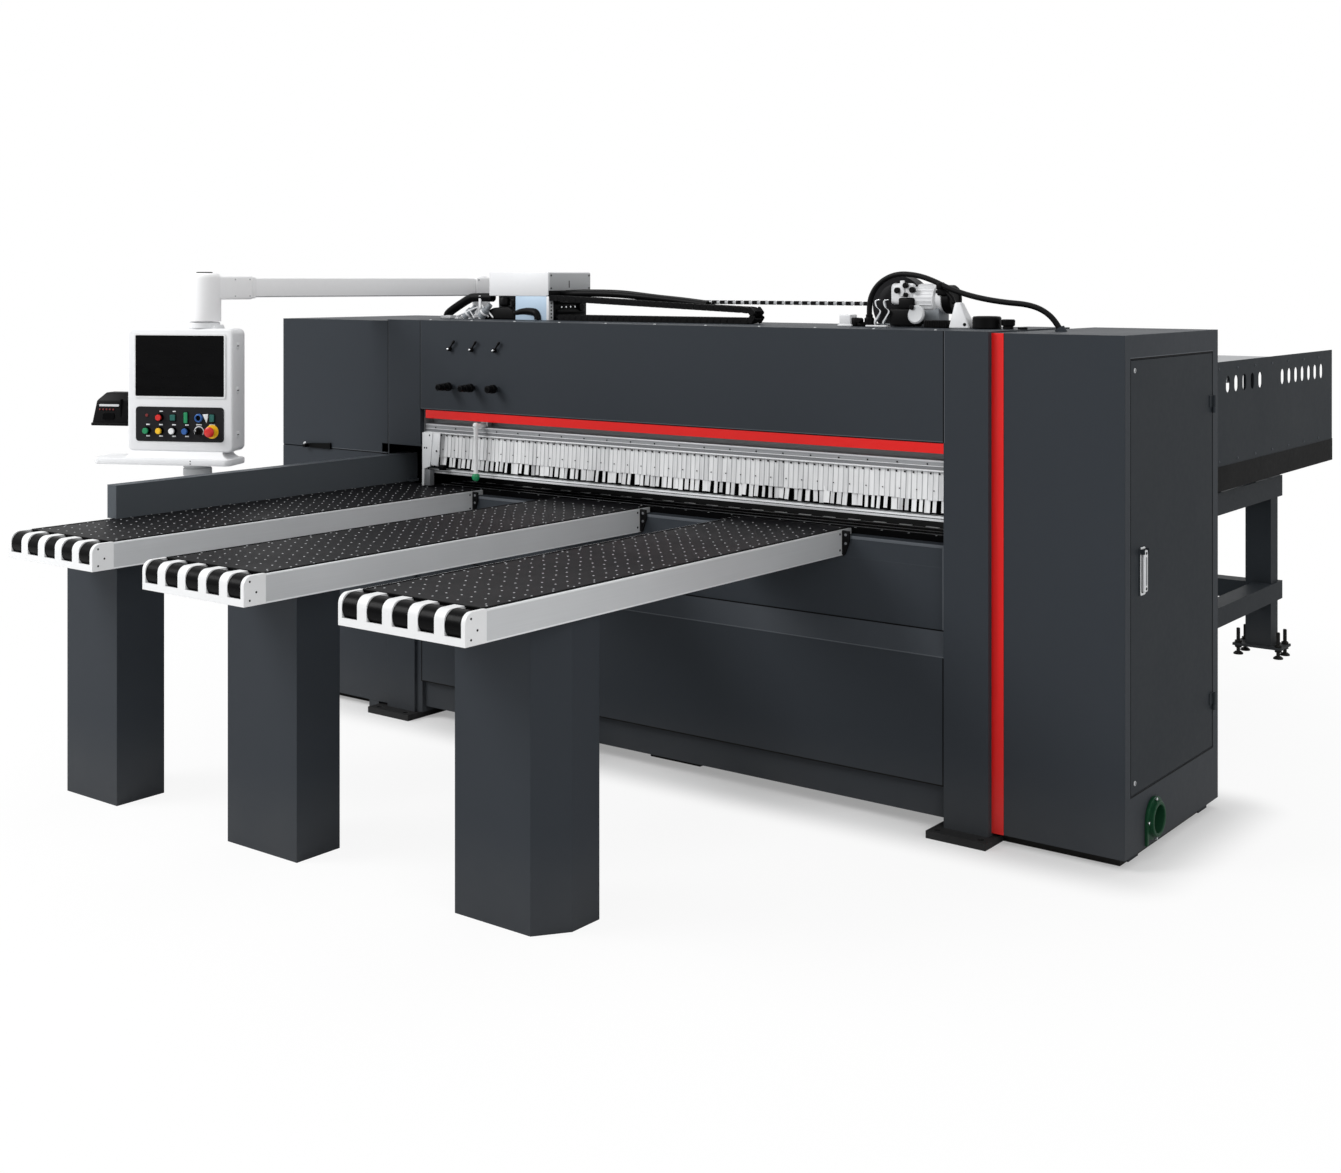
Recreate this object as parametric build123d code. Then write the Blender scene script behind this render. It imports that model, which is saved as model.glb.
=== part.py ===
from build123d import *
import os
from math import atan2, cos, degrees, hypot, pi, radians, sin, tan

os.makedirs("parts", exist_ok=True)

# Working height, clear opening between the uprights, front plane of the uprights
bed_z = 985.0
opening_w = 2482.0
front_y = -210.0
machine_top = 1690.0
sheet = 3.0
plate_t = 12.0
run_gap = 0.3

# Uprights
right_upright_w = 165.0
left_upright_w = 200.0
upright_front_d = 110.0
upright_rear_y = 260.0
upright_rear_d = 170.0
upright_wall = 8.0
cap_t = 6.0
sole_t = 25.0
sole_front_y = -270.0
sole_back_y = 480.0
sole_side = 35.0
sole_right_out = 19.0
sole_left_out = 58.0
sole_left_in = 13.0
brace_low_z = 1200.0
anchor_r = 11.0
anchor_x = 160.0
anchor_y = 690.0
anchor_front_y = -242.0
notch_low_z = 890.0
notch_high_z = 1155.0

# Base frame and carriage rails
base_left_in = 41.0
base_right_gap = 6.0
base_back_y = 258.0
pad_h = 60.0
pad_w = 240.0
pad_in = 161.0
pad_front_y = 20.0
mid_pad_front_y = -60.0
beam_foot_w = 80.0
beam_foot_h = 60.0
ledge_w = 50.0
rail_floor_z = 560.0
rail_w = 20.0
rail_h = 20.0
rail_inset = 16.0

# Bed and lower panel
bed_t = 20.0
bed_front_y = -125.0
saw_slot_w = 8.0
panel_y = -182.0
panel_step = 24.0
panel_top_z = 965.0
ledge_top_z = 675.0
ledge_low_z = 594.0
skirt_top_z = 161.0
skirt_low_z = 50.0

# Upper beam
beam_low_z = 1313.0
beam_front_gap = 60.0
beam_d = 150.0
beam_wall = 8.0
cover_back_y = 365.0
rib_in = (241.0, 841.0)
rib_t = 12.0
rib_low_z = 1560.0
cylinder_in = 141.0
cylinder_w = 70.0
cylinder_low_z = 1330.0
cylinder_h = 290.0
rod_r = 12.5
bore_gap = 0.05

# Trim, curtain, aligner
trim_h = 36.0
trim_t = 12.0
trim_left_gap = 32.0
side_trim_w = 43.0
curtain_top = (-178.0, 1213.0)
curtain_low = (-191.0, 1068.0)
curtain_t = 3.0
curtain_side = 8.0
strip_count = 40
slit_w = 2.0
header_front_y = -187.0
header_back_y = -128.0
header_h = 37.0
header_web = 12.0
side_low_z = 1046.0
side_lap = 6.0
guide_r = 8.0
guide_y = -165.0
guide_z = 1290.0
aligner_in = 341.0
aligner_y = -228.0
aligner_low_z = 1050.0

# Pressure beam
clamp_gap = 60.0
shoe_h = 60.0
shoe_front_y = -155.0
shoe_back_y = 130.0
shoe_slot = 24.0
shoe_wall = 6.0
clamp_side = 9.0

# Saw unit
park_in = 450.0
blade_r = 200.0
blade_t = 4.4
blade_rest_drop = 10.0
saw_motor_r = 85.0
saw_motor_y0 = 25.0
saw_motor_len = 175.0
post_r = 15.0
post_x = 150.0
score_x = -330.0
score_r = 90.0
score_motor_r = 52.0

# Cabinets
cab_low_z = 35.0
cab_top_z = 1685.0
right_cab_w = 459.0
right_cab_front = -185.0
right_cab_back = 650.0
left_cab_w = 690.0
left_cab_front = -205.0
left_cab_back = 630.0
seam_z = 1112.0
door_front_y = -140.0
door_back_y = 594.0
door_low_z = 226.0
door_top_z = 1606.0
door_gap = 2.0
hinge_r = 6.0
hinge_len = 40.0
handle_y = -46.5
handle_z = 928.0
handle_w = 54.0
handle_h = 152.0
port_y = 45.0
port_z = 115.0
port_r = 70.0
port_bore_r = 45.0

# Front tables
table_w = 492.0
table_x = (-1202.0, -317.0, 586.0)
table_front = (-1985.0, -2070.0, -2070.0)
table_back_y = -127.0
rail_t = 15.0
rail_tall = 90.0
top_plate_t = 25.0
cap_len = 82.0
cap_wall = 10.0
roller_n = 5
roller_pitch = 100.0
roller_w = 62.0
roller_r = 41.0
axle_r = 8.0
leg_front_y = -1700.0
leg_size = ((-333.0, 302.0, 198.0), (-301.0, 346.0, 180.0), (-156.0, 370.0, 219.0))
leg_chamfer = (72.0, 98.0)
leg_wall = 6.0
fence_out = 32.0
fence_w = 55.0
fence_h = 122.0
fence_front_y = -1575.0
fence_back_y = -55.0
fence_wall = 5.0

# Console and arm
post_in = 25.0
post_y = 345.0
arm_post_r = 24.0
elbow_from_post = (-309.0, -1295.0)
arm_z0 = 1788.0
arm_z1 = 1868.0
arm_w = 64.0
elbow_r = 50.5
elbow_z0 = 1692.0
elbow_z1 = 1888.0
spigot_r = 30.0
console_turn = 26.0
console_off = 77.0
house_w = 461.0
house_d = 122.0
house_z0 = 1166.0
house_z1 = 1664.0
screen_w = 386.0
screen_h = 246.0
screen_z0 = 1390.0
keys_w = 384.0
keys_h = 140.0
keys_z0 = 1207.0
button_r = 12.5
button_pitch = 57.0
row_high_z = 1304.0
row_low_z = 1250.0
tray_z0 = 1113.0
tray_t = 27.0
tray_left = -371.0
tray_right = 228.0
tray_front = -90.0
tray_corner = 22.0
tray_back = 70.0
stub_r = 57.0
stub_z0 = 1065.0
stub_x = 42.0
stub_y = 10.0
skirt_left = -215.0
skirt_right = 185.0
printer_w = 165.0
printer_front = -60.0
printer_back = 40.0
printer_z0 = 1266.0
printer_z1 = 1400.0

# Rear part
side_out = 24.0
side_w = 100.0
side_z0 = 787.0
side_z1 = 889.0
low_z0 = 276.0
low_z1 = 365.0
rear_leg_in = 51.0
rear_leg_y = (720.0, 3192.0)
rear_leg_w = 125.0
rear_leg_d = 105.0
frame_end_y = 3274.0
end_t = 5.0
foot_plate_z = 45.0
foot_plate_t = 12.0
foot_reach_x = 98.0
foot_reach_y = 52.0
foot_plate_side = 22.0
guard_out = 74.0
guard_z0 = 1025.0
guard_z1 = 1492.0
guard_low_z = 913.0
guard_rear_z1 = 1180.0
cover_w = 250.0
cover_t = 6.0
guard_front_y = 660.0
guard_back_y = 3940.0
guard_t = 4.0
slot_w = 50.0
slot_h = 76.0
slot_z = 1388.0
slot_first = (1346.0, 2346.0, 3122.0)
slot_counts = (7, 5, 7)
slot_pitch = (113.0, 111.0, 105.0)
push_rail_in = 6.0
push_rail_z0 = 1440.0
push_rail_w = 40.0
push_rail_back = 2930.0
cover_in_y = 60.0
post_ys = (560.0, 1200.0, 1800.0, 2400.0, 2880.0)
bar_n = 7
bar_pitch = 350.0
bar_w = 60.0
bar_h = 40.0
bar_back_y = 3600.0
cross_ys = (500.0, 1300.0, 2100.0, 2800.0, 3230.0)
pusher_y = 2700.0
pusher_d = 80.0
pusher_h = 100.0
grip_x = (-875.0, -525.0, -175.0, 175.0, 525.0, 875.0)
grip_reach = 300.0
jaw_z = 1075.0

# Beam top gear and cable
gear_y = 80.0
box_in = 124.0
box_w = 345.0
box_y1 = 355.0
box_z0 = 1791.0
box_z1 = 1893.0
chain_w = 70.0
chain_t = 25.0
chain_end_x = 242.0
chain_start_z = 1797.0
loop_r = 33.0
tray_line_z = 1773.0
mount_in = 451.0
motor_in = 310.0
link_in = (46.0, 91.0)
tower_in = 79.0
cup_out = (14.0, 95.0)
cover_z = 1768.0
cover_r = 108.0
cover_in = 51.0
motor_z = 1790.0
motor_y = 150.0
cable_r = 10.0
cable_path = (
    (783.0, 1734.0), (783.0, 1774.0), (795.0, 1812.0), (820.0, 1844.0), (853.0, 1866.0), (891.0, 1879.0),
    (931.0, 1882.0), (990.0, 1875.0), (1044.0, 1858.0), (1098.0, 1834.0), (1156.0, 1814.0), (1216.0, 1799.0),
    (1279.0, 1788.0), (1341.0, 1781.0), (1398.0, 1777.0), (1444.0, 1766.0), (1481.0, 1747.0),
    (1509.0, 1721.0), (1525.0, 1696.0),
)
gland_r = 18.0
gland_len = 40.0

# Controls on the beam panel
knob_in = (189.0, 321.0, 445.0)
knob_z = 1416.0
knob_len = (80.0, 85.0, 55.0)
knob_r = 17.0
lever_in = (181.0, 306.0, 437.0)
lever_z = 1572.0

# Values that follow from the ones above
half = opening_w / 2
right_x = half + right_upright_w
left_x = -half - left_upright_w
upright_split = front_y + upright_front_d
upright_back = upright_rear_y + upright_rear_d
base_front_y = upright_split + 2
base_right_x = right_x - base_right_gap
under_bed = bed_z - bed_t
right_cab_x = right_x + right_cab_w
left_cab_x = left_x - left_cab_w
base_left_x = left_cab_x + base_left_in
cylinder_x = half - cylinder_in
aligner_x = aligner_in - half
park_x = base_left_x + park_in
fence_x = left_x - fence_out
post_at = (left_x + post_in, post_y)
elbow_at = (post_at[0] + elbow_from_post[0], post_at[1] + elbow_from_post[1])
side_x = half + side_out
rear_leg_x = half - rear_leg_in
guard_x = half + guard_out
push_rail_x = half - push_rail_in
box_x0 = box_in - half
box_x1 = box_x0 + box_w
mount_x = half - mount_in
motor_x = half - motor_in
knob_x = [inset - half for inset in knob_in]
lever_x = [inset - half for inset in lever_in]
clamp_z = bed_z + clamp_gap
rail_low_z = bed_z - rail_tall
beam_front_y = front_y + beam_front_gap
beam_back_y = beam_front_y + beam_d
rod_y = beam_back_y + cylinder_w / 2
turn = radians(console_turn)
console_at = (elbow_at[0] - console_off * cos(turn), elbow_at[1] - console_off * sin(turn))
face_y = -house_d / 2


def block(x0, x1, y0, y1, z0, z1):
    middle = Pos((x0 + x1) / 2, (y0 + y1) / 2, (z0 + z1) / 2)
    return middle * Box(x1 - x0, y1 - y0, z1 - z0)


def rod(axis, at, radius, length):
    lay = {"x": Rot(0, 90, 0), "y": Rot(-90, 0, 0), "z": Rot(0, 0, 0)}[axis]
    up = (Align.CENTER, Align.CENTER, Align.MIN)
    return Pos(*at) * lay * Cylinder(radius, length, align=up)


def ring(axis, at, radius, bore, length):
    return rod(axis, at, radius, length) - rod(axis, at, bore, length)


def pipe_z(x0, x1, y0, y1, z0, z1, wall):
    return block(x0, x1, y0, y1, z0, z1) - block(x0 + wall, x1 - wall, y0 + wall, y1 - wall, z0, z1)


def pipe_x(x0, x1, y0, y1, z0, z1, wall):
    return block(x0, x1, y0, y1, z0, z1) - block(x0, x1, y0 + wall, y1 - wall, z0 + wall, z1 - wall)


def pipe_y(x0, x1, y0, y1, z0, z1, wall):
    return block(x0, x1, y0, y1, z0, z1) - block(x0 + wall, x1 - wall, y0, y1, z0 + wall, z1 - wall)


def profile_x(points, x0, x1):
    return extrude(Plane.YZ.offset(x0) * Polygon(*points, align=None), x1 - x0, dir=(1, 0, 0))


def profile_y(points, y0, y1):
    return extrude(Plane.XZ.offset(-y1) * Polygon(*points, align=None), y1 - y0, dir=(0, -1, 0))


def save(node, *solids):
    flat = []
    for item in solids:
        flat.extend(item.solids())
    shape = flat[0] if len(flat) == 1 else Compound(children=flat)
    export_step(shape, f"parts/{node}.step")


def mirror_x(*solids):
    return [mirror(item, about=Plane.YZ) for item in solids]


def sole_plate(x0, x1):
    plate = block(x0, x1, sole_front_y, sole_back_y, 0, sole_t)
    middle = (x0 + x1) / 2
    for dx in (-anchor_x / 2, anchor_x / 2):
        for y in (anchor_front_y, anchor_front_y + anchor_y):
            plate = plate - rod("z", (middle + dx, y, 0), anchor_r, sole_t)
    return plate


def make_uprights():
    tube_top = machine_top - cap_t
    cover_back = front_y + plate_t
    right = [
        sole_plate(half - sole_side, right_x + sole_right_out),
        block(half, right_x, front_y, cover_back, sole_t, machine_top),
        pipe_z(half, right_x, cover_back, upright_split, sole_t, tube_top, upright_wall),
        pipe_z(half, right_x, upright_rear_y, upright_back, sole_t, tube_top, upright_wall),
        block(half, right_x, cover_back, upright_back, tube_top, machine_top),
        block(half, half + plate_t, upright_split, upright_rear_y, brace_low_z, tube_top),
    ]
    save("right_upright", *right)
    left = [
        sole_plate(left_x - sole_left_out, -half - sole_left_in),
        block(left_x, -half, front_y, cover_back, notch_high_z, machine_top),
        block(left_x, -half - sole_side, front_y, cover_back, sole_t, notch_low_z),
        pipe_z(left_x, -half, cover_back, upright_split, notch_high_z, tube_top, upright_wall),
        pipe_z(left_x, -half, cover_back, upright_split, sole_t, notch_low_z, upright_wall),
        pipe_z(left_x, -half, upright_rear_y, upright_back, sole_t, tube_top, upright_wall),
        block(left_x, -half, cover_back, upright_back, tube_top, machine_top),
        block(-half - plate_t, -half, upright_split, upright_rear_y, brace_low_z, tube_top),
    ]
    save("left_upright", *left)


def make_base():
    x0, x1 = base_left_x, base_right_x
    y0, y1 = base_front_y, base_back_y
    iy0, iy1 = y0 + plate_t, y1 - plate_t
    parts = [
        block(x0, x1, y0, iy0, pad_h, under_bed),
        block(x0, x1, iy1, y1, pad_h, under_bed),
        block(x0, x0 + plate_t, iy0, iy1, pad_h, under_bed),
        block(x1 - plate_t, x1, iy0, iy1, pad_h, under_bed),
    ]
    for low, tall in ((rail_floor_z - plate_t, plate_t), (under_bed - plate_t, plate_t)):
        parts.append(block(x0 + plate_t, x1 - plate_t, iy0, iy0 + ledge_w, low, low + tall))
        parts.append(block(x0 + plate_t, x1 - plate_t, iy1 - ledge_w, iy1, low, low + tall))
    pads = (
        (x0 + pad_w / 2 - 10, pad_front_y), (pad_in - half, pad_front_y), (0.0, mid_pad_front_y),
        (half - pad_in, pad_front_y),
    )
    for x, front in pads:
        parts.append(block(x - pad_w / 2, x + pad_w / 2, front, y1, 0, pad_h))
        a, b = x - beam_foot_w / 2, x + beam_foot_w / 2
        parts.append(block(a, b, iy0, iy1, pad_h, pad_h + beam_foot_h))
    top = rail_floor_z + rail_h
    for low in (iy0 + rail_inset, iy1 - rail_inset - rail_w):
        parts.append(block(x0 + plate_t, x1 - plate_t, low, low + rail_w, rail_floor_z, top))
    save("base_frame", *parts)


def make_bed():
    front = block(-half, half, bed_front_y, -saw_slot_w / 2, under_bed, bed_z)
    rear = block(-half, half, saw_slot_w / 2, base_back_y, under_bed, bed_z)
    save("bed_plates", front, rear)


def make_lower_panel():
    low_y = panel_y - panel_step
    face = [
        (panel_y, notch_low_z), (panel_y, ledge_top_z), (low_y, ledge_low_z), (low_y, skirt_top_z + 3),
        (low_y + sheet, skirt_top_z + 3), (low_y + sheet, ledge_low_z), (panel_y + sheet, ledge_top_z),
        (panel_y + sheet, notch_low_z),
    ]
    parts = [profile_x(face, -half, half)]
    parts.append(block(-half, half, panel_y, panel_y + sheet, skirt_low_z, skirt_top_z))
    parts.append(block(-half, half, low_y + sheet, panel_y, skirt_top_z + 3, skirt_top_z + 6))
    parts.append(block(-half, half, panel_y, panel_y + sheet, skirt_top_z, skirt_top_z + 6))
    edges = [(x - table_w / 2 - 4, x + table_w / 2 + 4) for x in table_x]
    gaps = [(edges[0][1], edges[1][0]), (edges[1][1], edges[2][0]), (edges[2][1], half)]
    for x0, x1 in gaps:
        parts.append(block(x0, x1, panel_y, panel_y + sheet, notch_low_z, panel_top_z))
        parts.append(block(x0, x1, panel_y + sheet, bed_front_y, panel_top_z - sheet, panel_top_z))
        parts.append(block(x0, x1, bed_front_y, base_front_y, panel_top_z - 20, panel_top_z))
    save("lower_panel", *parts)


def make_upper_beam():
    top = machine_top - 4
    parts = [pipe_x(-half, half, beam_front_y, beam_back_y, beam_low_z, top, beam_wall)]
    ribs = [half - inset for inset in rib_in]
    for x in ribs + [-x for x in ribs]:
        parts.append(block(x - rib_t / 2, x + rib_t / 2, beam_back_y, cover_back_y, rib_low_z, top))
    for x in (-cylinder_x, cylinder_x):
        body = block(
            x - cylinder_w / 2, x + cylinder_w / 2, beam_back_y, beam_back_y + cylinder_w,
            cylinder_low_z, cylinder_low_z + cylinder_h,
        )
        hole = rod("z", (x, rod_y, cylinder_low_z), rod_r + bore_gap, cylinder_h - 15)
        parts.append(body - hole)
    save("upper_beam", *parts)
    low = beam_low_z
    panel = [
        block(-half, half, front_y, front_y + sheet, low, machine_top),
        block(-half, half, front_y + sheet, beam_front_y, low, low + sheet),
        block(-half, half, front_y + sheet, cover_back_y, machine_top - 4, machine_top),
    ]
    for x in knob_x:
        panel.append(rod("y", (x, front_y - 8, knob_z), 12, 8))
        panel.append(rod("y", (x, front_y - 30, knob_z), 6, 22))
    for x in lever_x:
        panel.append(rod("y", (x, front_y - 4, lever_z), 11, 4))
        panel.append(rod("y", (x, front_y - 16, lever_z), 4, 12))
    save("beam_panel", *panel)


def make_trims():
    low = beam_low_z - trim_h
    beam = block(-half + trim_left_gap, half, front_y, front_y + trim_t, low, beam_low_z)
    side = block(
        right_x, right_x + side_trim_w, right_cab_front - 2, right_cab_front, cab_low_z, cab_top_z,
    )
    save("red_trims", beam, side)


def make_curtain():
    y, z = curtain_top
    wide = half - curtain_side
    rail = [
        block(-wide, wide, header_front_y, header_back_y, z, z + header_h),
        block(-wide, wide, header_back_y - header_web, header_back_y, z + header_h, beam_low_z),
        rod("x", (-half + 4, guide_y, guide_z), guide_r, opening_w - 8),
    ]
    side = [
        (header_front_y, beam_low_z), (header_back_y + side_lap, beam_low_z),
        (header_back_y + side_lap, z - side_lap), (curtain_low[0] + 20, side_low_z),
        (curtain_low[0] - side_lap, side_low_z), (header_front_y, z),
    ]
    rail.append(profile_x(side, -half, -half + 4))
    rail.append(profile_x(side, half - 4, half))
    save("curtain_rail", *rail)
    run = (curtain_low[0] - y, curtain_low[1] - z)
    span = hypot(*run)
    out = (-run[1] / span * curtain_t, run[0] / span * curtain_t)
    sheet_line = [
        (y, z), curtain_low, (curtain_low[0] + out[0], curtain_low[1] + out[1]), (y + out[0], z),
    ]
    drop = profile_x(sheet_line, -wide, wide)
    pitch = 2 * wide / strip_count
    for i in range(1, strip_count):
        x = -wide + i * pitch
        drop = drop - block(x - slit_w / 2, x + slit_w / 2, -300, 0, curtain_low[1] - 10, z - 34)
    save("strip_curtain", drop)
    x = aligner_x
    hanger = block(x - 24, x + 24, guide_y - 12, guide_y + 14, guide_z - 36, guide_z + 12)
    hanger = hanger - rod("x", (x - 24, guide_y, guide_z), guide_r + bore_gap, 48)
    arm = block(x - 10, x + 10, aligner_y - 10, guide_y - 12, guide_z - 36, guide_z - 20)
    stem = rod("z", (x, aligner_y, aligner_low_z), 6, guide_z - 36 - aligner_low_z)
    bump = Pos(x, aligner_y, aligner_low_z) * Sphere(16)
    save("side_aligner", hanger + arm + (stem - bump), bump)


def make_clamp():
    wide = half - clamp_side
    top = clamp_z + shoe_h
    gap = shoe_slot / 2
    parts = [
        pipe_x(-wide, wide, shoe_front_y, -gap, clamp_z, top, shoe_wall),
        pipe_x(-wide, wide, gap, shoe_back_y, clamp_z, top, shoe_wall),
        block(-wide, wide, -100, -gap, top, top + 25),
        block(-wide, wide, gap, shoe_back_y, top, top + 25),
        pipe_x(-wide, wide, -100, shoe_back_y, top + 25, top + 65, shoe_wall),
        block(-wide, wide, shoe_front_y - 10, shoe_front_y, clamp_z - 2, clamp_z + 17),
    ]
    reach = cylinder_low_z + cylinder_h - 40
    for x in (-cylinder_x, cylinder_x):
        parts.append(rod("z", (x, rod_y, top + 65), rod_r, reach - top - 65))
    save("pressure_beam", *parts)


def make_saw():
    iy0, iy1 = base_front_y + plate_t, base_back_y - plate_t
    rails = (iy0 + rail_inset, iy1 - rail_inset - rail_w)
    top = rail_floor_z + rail_h
    deck = top + 20
    x = park_x
    body = block(x - 420, x + 250, iy0 + 8, iy1 - 8, deck, deck + 20)
    for low in rails:
        for dx in (-340.0, 170.0):
            shoe = block(
                x + dx - 50, x + dx + 50, low - 8, low + rail_w + 8, rail_floor_z + 6, deck,
            )
            slot = block(
                x + dx - 50, x + dx + 50, low - run_gap, low + rail_w + run_gap,
                rail_floor_z, top + run_gap,
            )
            body = body + (shoe - slot)
    blade_z = bed_z - blade_rest_drop - blade_r
    body = body - block(x - blade_r - 15, x + blade_r + 15, -16, 16, deck, deck + 20)
    mid_y = saw_motor_y0 + saw_motor_len / 2
    for dx in (-post_x, post_x):
        body = body + rod("z", (x + dx, mid_y, deck + 20), post_r, 320)
    score_z = bed_z - 6 - score_r
    body = body + block(x + score_x - 45, x + score_x + 45, 60, 80, deck + 20, score_z)
    body = body + rod("y", (x + score_x, 24, score_z), score_motor_r, 120)
    body = body + rod("y", (x + score_x, -10, score_z), 12, 34)
    save("saw_carriage", body)
    saddle_z = blade_z - saw_motor_r - 20
    saddle = block(x - 190, x + 190, mid_y - 60, mid_y + 60, saddle_z, saddle_z + 24)
    for dx in (-post_x, post_x):
        saddle = saddle - rod("z", (x + dx, mid_y, saddle_z), post_r + bore_gap, 24)
    motor = saddle + rod("y", (x, saw_motor_y0, blade_z), saw_motor_r, saw_motor_len)
    motor = motor + rod("y", (x, -14, blade_z), 15, saw_motor_y0 + 14)
    save("saw_motor", motor)
    for node, px, pz, r, bore in (
        ("main_blade", x, blade_z, blade_r, 15), ("scoring_blade", x + score_x, score_z, score_r, 12),
    ):
        disc = rod("y", (px, -blade_t / 2, pz), r, blade_t)
        flange = rod("y", (px, -9, pz), bore + 18, 18)
        disc = disc + flange - rod("y", (px, -9, pz), bore + bore_gap, 18)
        save(node, disc)


def cabinet_feet(x0, x1, y0, y1, low):
    feet = []
    for x in (x0 + 30, x1 - 110):
        for y in (y0 + 100, y1 - 110):
            feet.append(block(x, x + 80, y, y + 80, 0, low))
    return feet


def make_left_cabinet():
    x0, x1, y0, y1 = left_cab_x, left_x, left_cab_front, left_cab_back
    z0, z1 = cab_low_z, cab_top_z
    gap_x = fence_x - 8
    gap_z0, gap_z1 = notch_low_z, notch_high_z
    low = block(x0, x1, y0, y0 + sheet, z0, seam_z - 2)
    low = low - block(gap_x, x1, y0, y0 + sheet, gap_z0, gap_z1)
    high = block(x0, x1, y0, y0 + sheet, seam_z + 2, z1)
    high = high - block(gap_x, x1, y0, y0 + sheet, gap_z0, gap_z1)
    side = block(x1 - sheet, x1, y0 + sheet, upright_split, z0, z1 - sheet)
    side = side - block(x1 - sheet, x1, y0 + sheet, upright_split, gap_z0, gap_z1)
    parts = [
        low, high, side,
        block(x0, x0 + sheet, y0 + sheet, y1 - sheet, z0, z1 - sheet),
        block(x0, x1, y1 - sheet, y1, z0, z1),
        block(x1 - sheet, x1, upright_rear_y, y1 - sheet, z0, z1 - sheet),
        block(x0, x1, y0 + sheet, y1 - sheet, z1 - sheet, z1),
        block(x0 + 164, x0 + 246, y0 - 8, y0, seam_z - 2, seam_z + 16),
        rod("y", (x0 + 172, y0 - 26, seam_z + 7), 6, 18),
    ]
    for x in (x0, x1 - 120):
        for y in (y0, y1 - 60):
            parts.append(block(x, x + 60, y, y + 60, 0, z0))
    save("left_cabinet", *parts)


def make_right_cabinet():
    x0, x1, y0, y1 = right_x, right_cab_x, right_cab_front, right_cab_back
    z0, z1 = cab_low_z, cab_top_z
    wall = x1 - sheet
    low_wall = block(wall, x1, y0 + sheet, y1 - sheet, z0, door_low_z)
    low_wall = low_wall - rod("x", (wall, port_y, port_z), port_bore_r + 6, sheet)
    parts = [
        block(x0, x1, y0, y0 + sheet, z0, z1),
        block(x0, x1, y1 - sheet, y1, z0, z1),
        block(x0, x0 + sheet, y0 + sheet, y1 - sheet, z0, z1 - sheet),
        low_wall,
        block(wall, x1, y0 + sheet, y1 - sheet, door_top_z, z1 - sheet),
        block(wall, x1, y0 + sheet, door_front_y, door_low_z, door_top_z),
        block(wall, x1, door_back_y, y1 - sheet, door_low_z, door_top_z),
        block(x0, x1, y0 + sheet, y1 - sheet, z1 - sheet, z1),
        block(x0 + sheet, wall, y0 + sheet, y1 - sheet, z0, z0 + sheet),
    ]
    parts.extend(cabinet_feet(x0, x1, y0, y1, z0))
    (near_x, near_z), (end_x, end_z) = cable_path[-2:]
    lean = degrees(atan2(end_x - near_x, near_z - end_z))
    gland = Pos(end_x, gear_y, end_z) * Rot(0, -lean, 0) * rod("z", (0, 0, -gland_len), gland_r, gland_len)
    room = block(end_x - gland_len, end_x + gland_len, gear_y - gland_r, gear_y + gland_r, z1, z1 + gland_len)
    parts.append(gland & room)
    for z in (door_low_z + 150, door_top_z - 150 - hinge_len):
        parts.append(hinge_leaf(z, door_back_y + door_gap, 1))
        parts.append(rod("z", hinge_at(z - 20), hinge_r - 3, hinge_len + 20))
        parts[-2] = parts[-2] - rod("z", hinge_at(z - 20), hinge_r - 3, 20)
    save("right_cabinet", *parts)


def hinge_at(z):
    return (right_cab_x + hinge_r, door_back_y, z)


def hinge_leaf(z, y, side):
    low = z - 20 if side > 0 else z
    tall = 20 if side > 0 else hinge_len
    knuckle = rod("z", hinge_at(low), hinge_r, tall)
    reach = block(
        right_cab_x, right_cab_x + 3, min(y, y + side * 26), max(y, y + side * 26), low, low + tall,
    )
    near = door_back_y + side * (hinge_r - 2)
    tie = block(
        right_cab_x, right_cab_x + 3, min(near, y + side), max(near, y + side), low, low + tall,
    )
    return knuckle + reach + tie


def make_door():
    wall = right_cab_x - sheet
    gap = door_gap
    panel = block(
        wall, right_cab_x, door_front_y + gap, door_back_y - gap, door_low_z + gap, door_top_z - gap,
    )
    parts = [panel]
    for z in (door_low_z + 150, door_top_z - 150 - hinge_len):
        leaf = hinge_leaf(z + run_gap, door_back_y - gap - 4, -1)
        bore = rod("z", hinge_at(z + run_gap), hinge_r - 3 + bore_gap, hinge_len)
        parts.append(leaf - bore)
    x = right_cab_x
    y0, y1 = handle_y - handle_w / 2, handle_y + handle_w / 2
    z0, z1 = handle_z - handle_h / 2, handle_z + handle_h / 2
    parts.append(block(x, x + 3, y0, y1, z0, z1))
    for y in (y0 + 3, y1 - 11):
        parts.append(block(x + 3, x + 17, y, y + 8, z1 - 20, z1 - 4))
    parts.append(rod("y", (x + 10, y0 + 11, z1 - 12), 3, handle_w - 22))
    save("cabinet_door", *parts)
    grip = block(x + 5, x + 15, y0 + 12, y1 - 12, z0 + 10, z1 - 8)
    grip = grip - rod("y", (x + 10, y0 + 12, z1 - 12), 3 + bore_gap, handle_w - 24)
    save("door_handle", grip)


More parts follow.
